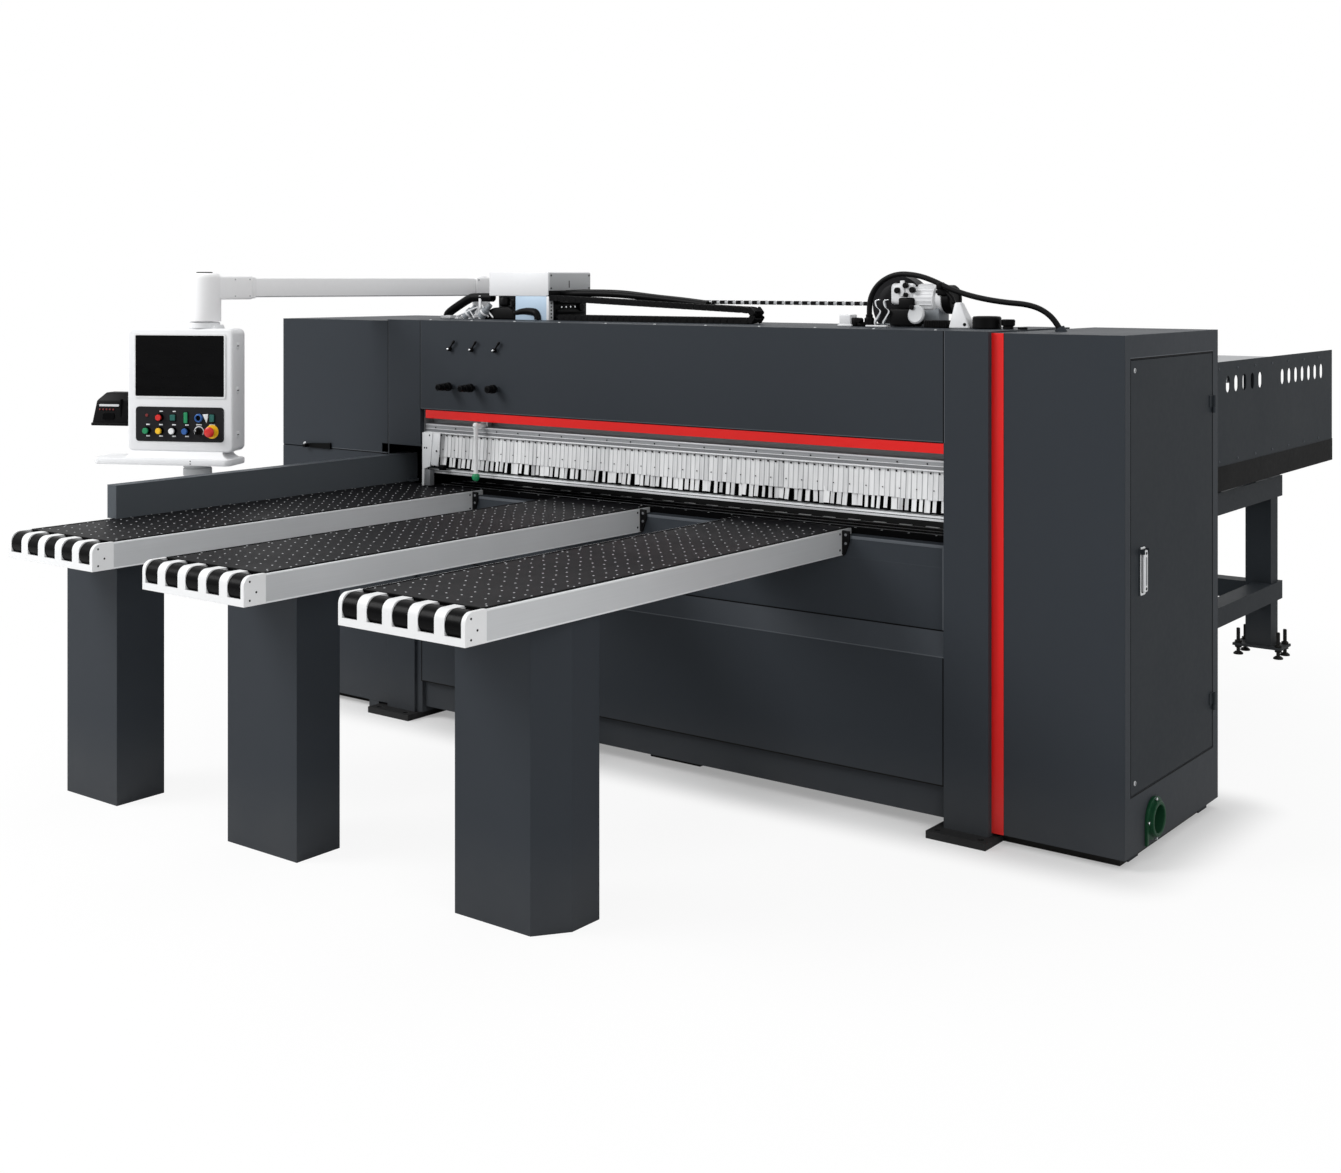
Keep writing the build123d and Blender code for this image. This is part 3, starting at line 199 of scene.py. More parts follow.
# Metals: drawn aluminium with fine lines along Y, turned steel, bright chrome
metal = {  # colour, roughness, scale of the lines, metallic
    "drawnAlu": ((206, 208, 210), 0.40, (900.0, 3.0, 900.0), 0.30),
    "coverAlu": ((150, 152, 155), 0.42, (900.0, 3.0, 900.0), 0.30),
    "crossAlu": ((196, 198, 201), 0.40, (3.0, 900.0, 900.0), 0.35),
    "brightAlu": ((228, 230, 232), 0.40, (3.0, 700.0, 700.0), 0.30),
    "dullAlu": ((122, 124, 127), 0.45, (3.0, 500.0, 500.0), 0.30),
    "millSteel": ((148, 150, 154), 0.40, (5.0, 260.0, 260.0), 0.85),
    "chromeMetal": ((222, 224, 227), 0.16, (300.0, 300.0, 30.0), 1.0),
    "nozzleGrey": ((172, 174, 176), 0.50, (200.0, 200.0, 200.0), 0.30),
    "zincSteel": ((190, 192, 194), 0.34, (120.0, 120.0, 120.0), 0.70),
}


def makeMetal(name, colour, rough, lines, shine):
    place, feed = newFinish(name, Metallic=shine)
    grain, cloud = place.stretch(lines).noise(1.0, 3.0, 0.6), place.noise(3.0, 3.0)
    feed(Base_Color=shaded(mixed(grain, 0.7, cloud, 0.4), colour, 0.82, 1.06),
         Roughness=mixed(grain, 0.22, cloud, 0.12, rough),
         Normal=grain.relief(0.12, 0.0004, roundEdges(place, 0.0008)))


# Moulded plastics and rubber: fine grain, slight cloudiness
plastic = {  # colour, roughness, scale and depth of the grain, specular
    "whitePlastic": ((228, 229, 230), 0.40, 520.0, 0.0004, 0.4),
    "blackPlastic": ((11, 11, 12), 0.42, 640.0, 0.0005, 0.07),
    "panelGrey": ((34, 34, 36), 0.45, 640.0, 0.0004, 0.07),
    "glossBlack": ((4, 4, 5), 0.28, 60.0, 0.0002, 0.04),
    "greenPlastic": ((18, 132, 84), 0.34, 300.0, 0.0002, 0.4),
    "tealPlastic": ((22, 92, 84), 0.30, 300.0, 0.0002, 0.4),
    "redPlastic": ((204, 34, 30), 0.30, 300.0, 0.0002, 0.4),
    "darkRedPlastic": ((112, 26, 24), 0.30, 300.0, 0.0002, 0.4),
    "yellowPlastic": ((236, 186, 32), 0.34, 300.0, 0.0002, 0.4),
    "bluePlastic": ((42, 92, 160), 0.32, 300.0, 0.0002, 0.4),
    "tagWhite": ((222, 224, 226), 0.50, 300.0, 0.0001, 0.3),
    "cableRubber": ((11, 11, 12), 0.48, 900.0, 0.0003, 0.1),
    "paleGrey": ((196, 198, 200), 0.42, 420.0, 0.0003, 0.35),
}


def makePlastic(name, colour, rough, scale, depth, specular):
    place, feed = newFinish(name, Specular_IOR_Level=specular)
    grain, cloud = place.noise(scale, 2.0, 0.5), place.noise(9.0, 3.0)
    feed(Base_Color=shaded(mixed(grain, 0.30, cloud, 0.35), colour, 0.90, 1.08),
         Roughness=mixed(cloud, 0.16, grain, 0.10, rough),
         Normal=grain.relief(0.15, depth, roundEdges(place, 0.0010)))


# Clear strips: milky plastic with streaks down their length and a slightly different tone on each strip
strips = {  # pale and dull colour, alpha, contrast, painted shade where two strips meet
    "stripPlastic": ((238, 239, 240), (110, 112, 116), 0.97, 0.6, 0.75),
    "tailPlastic": ((242, 243, 244), (110, 112, 116), 0.94, 1.0, 0.0),
}
lanes = {"start": 1.231, "pitch": 0.02085, "soft": 0.14}


def makeStripPlastic(name, pale, dull, alpha, contrast, gapShade):
    place, feed = newFinish(name, Specular_IOR_Level=0.4)
    tone = place.node("ShaderNodeAttribute", {"attribute_name": "stripTone"}, out="Fac")
    streak = place.stretch((150.0, 5.0, 5.0)).noise(1.0, 4.0, 0.65)
    broad = place.stretch((28.0, 4.0, 4.0)).noise(1.0, 2.0)
    mix = (mixed(streak, 1.5, broad, 0.9, 0.0) + (tone - 0.5) * 0.6) * contrast + 0.40
    lane = place.maths("PINGPONG", (place.axis("X") + lanes["start"]) / lanes["pitch"], 0.5)  # 0 where strips meet
    # painted shade darkens the strips where two meet
    mix = mix + (1.0 - lane.step(0.0, lanes["soft"])) * gapShade
    feed(Base_Color=mix.step(0.0, 1.5).blend(srgb(*pale), srgb(*dull)), Roughness=(streak - 0.5) * 0.3 + 0.32,
         Alpha=mixed(streak, 0.2, tone, 0.06, alpha), Normal=streak.relief(0.2, 0.0005))


# Table covering: dark pressed board with a fine fleck
boards = {"tableBoard": ((16, 16, 18), (36, 36, 38))}  # colour, fleck


def makeBoard(name, colour, fleckColour):
    place, feed = newFinish(name, Specular_IOR_Level=0.07)
    fleck, cloud = place.noise(330.0, 3.0, 0.7), place.noise(3.5, 3.0)
    spread = (fleck.step(0.52, 0.78) * 0.7).blend(shaded(cloud, colour, 0.85, 1.15), srgb(*fleckColour))
    feed(Base_Color=spread, Roughness=mixed(cloud, 0.2, fleck, 0.2, 0.50),
         Normal=fleck.relief(0.25, 0.0004, roundEdges(place, 0.0015)))


screens = {"screenGlass": ((4, 4, 5), (9, 9, 10))}  # dark glass, faint smears


def makeScreen(name, dark, light):
    place, feed = newFinish(name, Specular_IOR_Level=0.07)
    smear = place.stretch((9.0, 9.0, 30.0), (0, 20, 0)).noise(1.0, 4.0, 0.6)
    feed(Base_Color=smear.blend(srgb(*dark), srgb(*light)), Roughness=smear * 0.14 + 0.10)


for make, table in ((makePaint, paint), (makeMetal, metal), (makePlastic, plastic), (makeStripPlastic, strips),
                    (makeBoard, boards), (makeScreen, screens)):
    for key, values in table.items():
        make(key, *values)
print("finishes:", len(finishes))

# Finish of each solid that stays on show
wear = {
    "darkPaint": "beam_panel left_cabinet lower_panel right_cabinet table_legs",
    # door and rear frame in the darker copy of the dark paint, painted shade
    "doorPaint": "cabinet_door rear_frame",
    "uprightPaint": "left_upright right_upright",
    # side fence in the lighter copy of the dark paint, painted light
    "fencePaint": "side_fence",
    "bedBlack": "bed_plates pressure_beam",
    "blackPaint": "base_frame upper_beam saw_carriage saw_motor levelling_feet",
    "guardPaint": "rear_guard",
    "redPaint": "red_trims",
    "whitePaint": "swing_arm arm_post console_housing console_tray",
    "greyPaint": "electrical_plate lift_gearmotor top_drive_box",
    "drawnAlu": "table_rails rear_table",
    "coverAlu": "pusher_rails curtain_rail",
    "crossAlu": "pusher_beam side_aligner",
    "millSteel": "gripper_jaws main_blade scoring_blade",
    "chromeMetal": "door_handle toggle_lever_1 toggle_lever_2 toggle_lever_3",
    "stripPlastic": "strip_curtain",
    "blackPlastic": "drag_chain regulator_knob_1 regulator_knob_2 regulator_knob_3 mode_selector button_panel",
    "glossBlack": "table_rollers_1 table_rollers_2 table_rollers_3",
    "tableBoard": "table_plates",
    "whitePlastic": "table_end_caps white_button",
    "screenGlass": "console_screen",
    "greenPaint": "air_outlet",
    "greenPlastic": "green_button",
    "redPlastic": "red_button emergency_stop",
    "yellowPlastic": "yellow_button",
    "bluePlastic": "blue_button",
    "cableRubber": "motor_cable",
}
for finish, names in wear.items():
    for name in names.split():
        slots = nodes[name].data.materials
        slots.clear()
        slots.append(finishes[finish])
missing = [n for n in nodes if nodes[n].data.materials[0] not in list(finishes.values())]
print("solids dressed, left out:", missing)


# The cable that arches from the lift motor to the cabinet
cable = {
    "y": 0.080, "radius": 0.010, "length": 0.876,
    "route": ((0.783, 1.734), (0.783, 1.774), (0.795, 1.812), (0.820, 1.844), (0.853, 1.866), (0.891, 1.879),
              (0.931, 1.882), (0.990, 1.875), (1.044, 1.858), (1.098, 1.834), (1.156, 1.814), (1.216, 1.799),
              (1.279, 1.788), (1.341, 1.781), (1.398, 1.777), (1.444, 1.766), (1.481, 1.747), (1.509, 1.721),
              (1.525, 1.696)),
}


def newPath(name, kind, y, points):  # a line of points in the plane at y
    curve = bpy.data.curves.new(name, "CURVE")
    curve.dimensions = "3D"
    line = curve.splines.new(kind)
    line.points.add(len(points) - 1)
    for point, (x, z) in zip(line.points, points):
        point.co = (x, y, z, 1)
    return curve, line


def makeCable(spec):
    curve, line = newPath("motorCable", "NURBS", spec["y"], spec["route"])
    curve.bevel_depth = spec["radius"]
    curve.bevel_resolution, curve.resolution_u = 4, 8
    line.order_u = 3
    line.use_endpoint_u = True
    curve.materials.append(finishes["cableRubber"])
    piece = newObject("motorCable", curve)
    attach(piece, "machine")
    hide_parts("motor_cable")


makeCable(cable)
print("cable laid")


# Mesh helpers, all in millimetres until a piece is finished
millimetre, creaseAngle = 0.001, radians(32)
still, flat = Matrix.Identity(4), (0, 0, 0)
move = Matrix.Translation


def stand(at, along):  # local Z points along the named axis
    lean = {"z": flat, "x": (0, 90, 0), "-x": (0, -90, 0), "y": (-90, 0, 0), "-y": (90, 0, 0)}
    return move(at) @ Euler(angles(lean[along])).to_matrix().to_4x4()


def between(start, end):  # local Z runs from start to end
    aim = Vector(end) - Vector(start)
    return move(start) @ aim.to_track_quat("Z", "Y").to_matrix().to_4x4(), aim.length


def grid(xs, ys, zs):
    return list(product(xs, ys, zs))


def arc(x, y, radius, start, end, steps):
    turns = angles(start + (end - start) * k / steps for k in range(steps + 1))
    return [(x + radius * cos(a), y + radius * sin(a)) for a in turns]


def rounded(x0, x1, y0, y1, radius, steps):  # outline of a box with round corners
    points = []
    for x, y, start in ((x1 - radius, y1 - radius, 0), (x0 + radius, y1 - radius, 90),
                        (x0 + radius, y0 + radius, 180), (x1 - radius, y0 + radius, 270)):
        points += arc(x, y, radius, start, start + 90, steps)
    return points


def roundRod(radius, length, edge):  # outline of a rod with softened ends
    return [(0, 0), (radius - edge, 0), (radius, edge), (radius, length - edge), (radius - edge, length), (0, length)]


def softRows(low, high, edge):  # rows of a slab with both faces rounded
    return [(low, edge), (low + edge * 0.3, edge * 0.3), (low + edge, 0), (high - edge, 0),
            (high - edge * 0.3, edge * 0.3), (high, edge)]


def bentPoints(points, per):  # smooth line through the points
    points = [Vector(p) for p in points]
    line = []
    for k in range(len(points) - 1):
        a, b, c, d = points[max(k - 1, 0)], points[k], points[k + 1], points[min(k + 2, len(points) - 1)]
        for n in range(per):
            t = n / per
            line.append(0.5 * ((2 * b) + (c - a) * t + (2 * a - 5 * b + 4 * c - d) * t * t
                               + (3 * b - a - 3 * c + d) * t * t * t))
    return line + [points[-1]]


def onAxis(bm, axis, outline, depth):  # a ring of verts across the named axis
    order = {"x": (2, 0, 1), "y": (0, 2, 1), "z": (0, 1, 2)}[axis]
    return [bm.verts.new([(a, b, depth)[i] for i in order]) for a, b in outline]


def skin(bm, rings, caps=True, loop=False):  # faces between rings of verts, where one vert is a pole
    if caps:
        bm.faces.new(rings[-1])
        bm.faces.new(rings[0][::-1])
    for first, second in zip(rings, rings[1:] + rings[:1] if loop else rings[1:]):
        count = max(len(first), len(second))
        for k in range(count):
            n = (k + 1) % count
            corners = (first[k % len(first)], first[n % len(first)], second[n % len(second)], second[k % len(second)])
            bm.faces.new(list(dict.fromkeys(corners)))
    return [vert for ring in rings for vert in ring]


def dress(bm, verts, tone, place=None, edge=0.0, segments=2):  # softens, places and paints what was just made
    if edge:
        sides = list({side for vert in verts for side in vert.link_edges})
        grown = bmesh.ops.bevel(bm, geom=sides, offset=edge, segments=segments, profile=0.5, affect="EDGES",
                                clamp_overlap=True)
        verts = list({v for face in grown["faces"] for v in face.verts} | set(grown["verts"]))
    if place:
        bmesh.ops.transform(bm, matrix=place, verts=verts)
    for face in {face for vert in verts for face in vert.link_faces}:
        face.material_index = tone


def addBox(bm, place, tone, x0, y0, z0, x1, y1, z1, edge=0.0, segments=2):
    size = (x1 - x0, y1 - y0, z1 - z0)
    shape = move(((x0 + x1) / 2, (y0 + y1) / 2, (z0 + z1) / 2)) @ Matrix.Diagonal((*size, 1))
    verts = bmesh.ops.create_cube(bm, size=1.0, matrix=shape)["verts"]
    dress(bm, verts, tone, place, min(edge, 0.45 * min(size)), segments)


def addTurned(bm, place, tone, steps, along, outline, *spots):  # outline of (radius, height), or a rod's three sizes
    outline = outline if isinstance(outline[0], (list, tuple)) else roundRod(*outline)
    for at in spots:
        shape = (place or still) @ (stand(at, along) if along else at)
        rings = []
        for radius, height in outline:
            hoop = arc(0, 0, radius, 0, 360, steps)[:-1] if radius else [(0, 0)]
            rings.append([bm.verts.new(shape @ Vector((x, y, height))) for x, y in hoop])
        dress(bm, skin(bm, rings, False, outline[0][0] > 0), tone)


def addPrism(bm, place, tone, axis, low, high, edge, outline, segments=2):
    rings = [onAxis(bm, axis, outline, depth) for depth in (low, high)]
    dress(bm, skin(bm, rings[::-1]), tone, place, edge, segments)


def addSlab(bm, place, tone, axis, box, corner, rows, steps=5):  # round corners, its edge along rows of (depth, inset)
    rings = []
    for depth, inset in rows:
        inner = [side + inset * sign for side, sign in zip(box, (1, -1, 1, -1))]
        rings.append(onAxis(bm, axis, rounded(*inner, max(corner - inset, 0.4), steps), depth))
    dress(bm, skin(bm, rings), tone, place)


def addHull(bm, place, tone, edge, points, segments=2):
    verts = [bm.verts.new(p) for p in points]
    bmesh.ops.convex_hull(bm, input=verts)
    sides = list({side for vert in verts for face in vert.link_faces for side in face.edges})
    bmesh.ops.dissolve_limit(bm, angle_limit=radians(2), verts=verts, edges=sides)
    dress(bm, [vert for vert in verts if vert.is_valid], tone, place, edge, segments)


def addTube(bm, place, tone, radius, sides, per, points):  # round tube, bent through the points where per is set
    points = bentPoints(points, per) if per else [Vector(p) for p in points]
    rings = []
    for k, point in enumerate(points):
        aim = (points[min(k + 1, len(points) - 1)] - points[max(k - 1, 0)]).normalized()
        side = aim.orthogonal() if k == 0 else side - aim * side.dot(aim)
        side.normalize()
        other = aim.cross(side)
        size = radius[k] if isinstance(radius, list) else radius
        rings.append([bm.verts.new(point + side * x + other * y) for x, y in arc(0, 0, size, 0, 360, sides)[:-1]])
    dress(bm, skin(bm, rings), tone, place)


# Rows of a piece, each after its tone. boxes: two corners, edge; turned: steps, axis, outline, places;
# prisms: axis, low, high, edge, outline; slabs: axis, sides, corner, depths with insets; hulls: edge, points;
# tubes: radius, sides, steps between points, points
adders = {
    "boxes": addBox, "turned": addTurned, "prisms": addPrism, "slabs": addSlab, "hulls": addHull, "tubes": addTube,
}


def shapes(spec, place=None, bm=None):
    bm = bm or bmesh.new()
    for kind, add in adders.items():
        for row in spec.get(kind, ()):
            add(bm, place, *row)
    return bm


def toMesh(name, bm, tones=""):
    bmesh.ops.recalc_face_normals(bm, faces=bm.faces[:])
    bmesh.ops.transform(bm, matrix=Matrix.Scale(millimetre, 4), verts=bm.verts[:])
    mesh = bpy.data.meshes.new(name)
    bm.to_mesh(mesh)
    bm.free()
    for tone in tones.split():
        mesh.materials.append(finishes[tone])
    mesh.shade_smooth()
    mesh.set_sharp_from_angle(angle=creaseAngle)
    return mesh


def setPiece(name, mesh, body="machine", hides=None):
    piece = newObject(name, mesh)
    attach(piece, body)
    if hides:
        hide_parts(hides)


def makePiece(name, spec, place=None, bm=None, **changes):
    spec = {**spec, **changes}
    mesh = toMesh(name, shapes(spec, place, bm), spec["tones"])
    setPiece(name, mesh, spec.get("body", "machine"), spec.get("hides"))


# Node trees for what repeats: straight rows, wheels and links along a path
def newTree(name, **inputs):
    tree = bpy.data.node_groups.new(name, "GeometryNodeTree")
    for label, kind in inputs.items():
        tree.interface.new_socket(label, in_out="INPUT", socket_type="NodeSocket" + kind)
    tree.interface.new_socket("Geometry", in_out="OUTPUT", socket_type="NodeSocketGeometry")
    gate = tree.nodes.new("NodeGroupInput")
    return tree, {label: Wire(tree, gate.outputs[label]) for label in inputs}


def endTree(shape, finish):
    real = shape.node("GeometryNodeRealizeInstances", {}, {"Geometry": shape})
    dressed = real.node("GeometryNodeSetMaterial", {}, {"Geometry": real, "Material": finish})
    dressed.node("NodeGroupOutput", {}, {0: dressed})


def scaled(vector, share):
    return vector.node("ShaderNodeVectorMath", {"operation": "SCALE"}, {0: vector, "Scale": share})


def stray(reach, seed):  # a random vector between minus and plus reach
    return reach.node("FunctionNodeRandomValue", {"data_type": "FLOAT_VECTOR"},
                      {0: scaled(reach, -1.0), 1: reach, "Seed": seed})


def shapeOf(part):
    return part.node("GeometryNodeObjectInfo", {}, {"Object": part}, "Geometry")


def copiesOn(points, part, **links):
    return points.node("GeometryNodeInstanceOnPoints", {}, {"Points": points, "Instance": shapeOf(part), **links})


def makeRowTree():
    tree, gate = newTree("rowsOfParts", Part="Object", Finish="Material", Start="Vector", Step="Vector", Count="Int",
                         RowStep="Vector", Rows="Int", Stagger="Float", Turn="Vector", Tilt="Vector", Vary="Vector",
                         Jitter="Vector", Seed="Int")
    wire, seed = gate["Count"], gate["Seed"]
    line = wire.node("GeometryNodeMeshLine", {}, {"Count": wire * gate["Rows"]})
    index = wire.node("GeometryNodeInputIndex")
    row = wire.maths("FLOOR", (index + 0.5) / wire)
    shift = index - row * wire + wire.maths("MODULO", row, 2.0) * gate["Stagger"]
    spot = wire.vectors("ADD", scaled(gate["Step"], shift), scaled(gate["RowStep"], row))
    placed = wire.node("GeometryNodeSetPosition", {}, {
        "Geometry": line, "Position": wire.vectors("ADD", gate["Start"], spot),
        "Offset": stray(gate["Jitter"], seed + 11)})
    copies = copiesOn(placed, gate["Part"], Rotation=wire.vectors("ADD", gate["Turn"], stray(gate["Tilt"], seed)),
                      Scale=wire.vectors("ADD", stray(gate["Vary"], seed + 3), (1.0, 1.0, 1.0)))
    chance = wire.node("FunctionNodeRandomValue", {"data_type": "FLOAT"}, {2: 0.0, 3: 1.0, "Seed": seed + 7}, 1)
    toned = wire.node("GeometryNodeStoreNamedAttribute", {"data_type": "FLOAT", "domain": "INSTANCE"},
                      {"Geometry": copies, "Name": "stripTone", "Value": chance})
    endTree(toned, gate["Finish"])
    return tree


def makeWheelTree():
    tree, gate = newTree("wheelOfParts", Part="Object", Finish="Material", Centre="Vector", Radius="Float",
                         Count="Int", Turn="Vector")
    wire = gate["Count"]
    hoop = wire.node("GeometryNodeMeshCircle", {}, {"Vertices": wire, "Radius": gate["Radius"]})
    spin = wire.node("ShaderNodeCombineXYZ", {}, {"Z": wire.node("GeometryNodeInputIndex") / wire * (2 * pi)})
    turned = wire.node("GeometryNodeTransform", {}, {
        "Geometry": copiesOn(hoop, gate["Part"], Rotation=spin), "Translation": gate["Centre"],
        "Rotation": gate["Turn"]})
    endTree(turned, gate["Finish"])
    return tree


def makeChainTree():
    tree, gate = newTree("linksOnPath", Part="Object", Finish="Material", Path="Object", Count="Int")
    wire = gate["Count"]
    evened = wire.node("GeometryNodeResampleCurve", {}, {"Curve": shapeOf(gate["Path"]), "Count": wire})
    along = wire.node("FunctionNodeAlignRotationToVector", {"axis": "X", "pivot_axis": "Y"},
                      {"Vector": wire.node("GeometryNodeInputTangent")})
    endTree(copiesOn(evened, gate["Part"], Rotation=along), gate["Finish"])
    return tree


rowTree, wheelTree, chainTree = makeRowTree(), makeWheelTree(), makeChainTree()


def grow(name, tree, part, **values):
    holder = newObject(name + "Holder", bpy.data.meshes.new(name))
    template = bpy.data.objects.new(name + "Part", toMesh(name + "Part", part))
    work = holder.modifiers.new("repeat", "NODES")
    work.node_group = tree
    for item in tree.interface.items_tree:
        if item.in_out == "INPUT":
            value = template if item.name == "Part" else values[item.name]
            work[item.identifier] = finishes[value] if item.name == "Finish" else value
    graph = bpy.context.evaluated_depsgraph_get()
    mesh = bpy.data.meshes.new_from_object(holder.evaluated_get(graph))
    mesh.name = name
    holder.modifiers.clear()
    bpy.data.objects.remove(holder)
    bpy.data.objects.remove(template)
    mesh.set_sharp_from_angle(angle=creaseAngle)
    return mesh


def metres(point):
    return [v * millimetre for v in point]


def rowPiece(name, part, finish, start, step, count, body="machine", rowStep=flat, rows=1, stagger=0.0,
             turn=flat, tilt=flat, vary=flat, jitter=flat, seed=1, hides=None):
    mesh = grow(name, rowTree, part, Finish=finish, Start=metres(start), Step=metres(step), Count=count,
                RowStep=metres(rowStep), Rows=rows, Stagger=stagger, Turn=angles(turn), Tilt=angles(tilt), Vary=vary,
                Jitter=metres(jitter), Seed=seed)
    setPiece(name, mesh, body, hides)


def wheelPiece(name, part, finish, centre, count, turn, radius=0.0, body="machine"):
    mesh = grow(name, wheelTree, part, Finish=finish, Centre=metres(centre), Radius=radius * millimetre, Count=count,
                Turn=angles(turn))
    setPiece(name, mesh, body)


def turnedPart(steps, outline):
    return shapes({"turned": ((0, steps, "z", outline, flat),)})


def boxPart(*sizes):
    return shapes({"boxes": ((0, *sizes),)})


def screwHead(radius, tall, sides=10):  # small domed head with its own flat underside, along local Z
    return turnedPart(sides, [(0, -0.5), (radius, -0.5), (radius, tall * 0.45), (radius * 0.72, tall),
                              (radius * 0.34, tall), (radius * 0.30, tall * 0.55), (0, tall * 0.55)])


def hexHead(across, tall):
    return turnedPart(6, [(0, -0.5), (across * 0.5, -0.5), (across * 0.5, tall * 0.85), (across * 0.42, tall),
                          (0, tall)])


print("tools ready")


# Strip curtain: an upper layer of close strips, longer loose strips behind it, two rows of studs
curtain = {
    "top": (-181.0, 1213.0), "half": 1231.0, "lean": -3.0, "thick": 1.6, "belly": 1.2, "seed": 5, "rows": 6,
    "columns": 3, "screws": 74, "screwAt": (20, -1.2, -8), "studAt": (34, -4.6, -66),  # from the left end of the top
    "layers": (
        {"name": "curtainStrips", "count": 118, "wide": 22.5, "long": 98.0, "back": 0.0, "tilt": (0.5, 0.3, 1.6),
         "vary": (0.10, 0.0, 0.015), "bow": 1.0, "finish": "stripPlastic"},
        {"name": "curtainTails", "count": 92, "wide": 17.5, "long": 140.0, "back": 5.0, "tilt": (1.6, 3.2, 9.0),
         "vary": (0.34, 0.0, 0.02), "bow": 5.0, "finish": "tailPlastic"},
    ),
}


def stripPart(spec, layer):
    bm = bmesh.new()
    rings = []
    across = [c / spec["columns"] - 0.5 for c in range(spec["columns"] + 1)]
    for r in range(spec["rows"] + 1):
        t = r / spec["rows"]
        line = [(u * layer["wide"], spec["belly"] * (1 - 4 * u * u) - layer["bow"] * t * t, -t * layer["long"])
                for u in across]
        back = [(x, y + spec["thick"], z) for x, y, z in reversed(line)]
        rings.append([bm.verts.new(p) for p in line + back])
    skin(bm, rings)
    return bm


def makeCurtain(spec):
    (y, z), half = spec["top"], spec["half"]
    for layer in spec["layers"]:
        wide, count = layer["wide"], layer["count"]
        rowPiece(layer["name"], stripPart(spec, layer), layer["finish"],
                 (wide / 2 - half, y + layer["back"], z), ((2 * half - wide) / (count - 1), 0, 0), count,
                 turn=(spec["lean"], 0, 0), tilt=layer["tilt"], vary=layer["vary"], seed=spec["seed"],
                 hides="strip_curtain")
    step = 2 * (half - spec["screwAt"][0]) / (spec["screws"] - 1)
    end = Vector((-half, y, z))
    rowPiece("curtainScrews", screwHead(3.4, 2.6, 8), "blackPlastic", end + Vector(spec["screwAt"]),
             (step, 0, 0), spec["screws"], turn=(90, 0, 0))
    rowPiece("curtainStuds", screwHead(2.2, 2.0, 8), "blackPlastic", end + Vector(spec["studAt"]),
             (step * 2, 0, 0), spec["screws"] // 2, turn=(90, 0, 0))


makeCurtain(curtain)
print("curtain hung")

# Drag chain lying on the beam: links along its looped path
linkSide = ((-17, -9), (-12, -12), (12, -12), (17, -8), (17, 8), (12, 12), (-12, 12), (-17, 9))
linkPin = ((0, 0), (5, 0), (5, 1.5), (0, 1.5))
chain = {
    "y": 115.0, "start": (-772.0, 1784.5), "bend": (242.0, 1723.0), "bendR": 20.5, "lowEnd": -706.0, "count": 64,
    "boxes": ((0, -9, -29, -12, 9, 29, -8), (0, -9, -29, 8, 9, 29, 12)),
    "prisms": ((0, "y", -34.5, -28, 0, linkSide), (0, "y", 28, 34.5, 0, linkSide)),
    "turned": ((0, 8, "-y", linkPin, (-9, -33.6, 0)), (0, 8, "y", linkPin, (-9, 33.6, 0))),
}


def makeChain(spec):
    (x, z), r = spec["bend"], spec["bendR"]
    points = [spec["start"], *arc(x, z, r, 90, -90, 12), (spec["lowEnd"], z - r)]
    curve = newPath("chainPath", "POLY", spec["y"] * millimetre, [metres(p) for p in points])[0]
    path = bpy.data.objects.new("chainPath", curve)
    mesh = grow("dragChainLinks", chainTree, shapes(spec), Finish="blackPlastic", Path=path, Count=spec["count"])
    setPiece("dragChainLinks", mesh, hides="drag_chain")
    bpy.data.objects.remove(path)


makeChain(chain)
print("chain laid")


# Drive box on the beam with its sheet, machinery, hoses, slanting linkage and perforated tray
def damper(low, high, size):  # a stepped cylinder with a collar
    place, length = between(low, high)
    body = ((0, 0), (size, 0), (size, length * 0.62), (size * 0.62, length * 0.66), (size * 0.62, length), (0, length))
    return (4, 18, None, body, place), (0, 18, None, (size + 3, 8, 1.5), place @ move((0, 0, length * 0.3)))


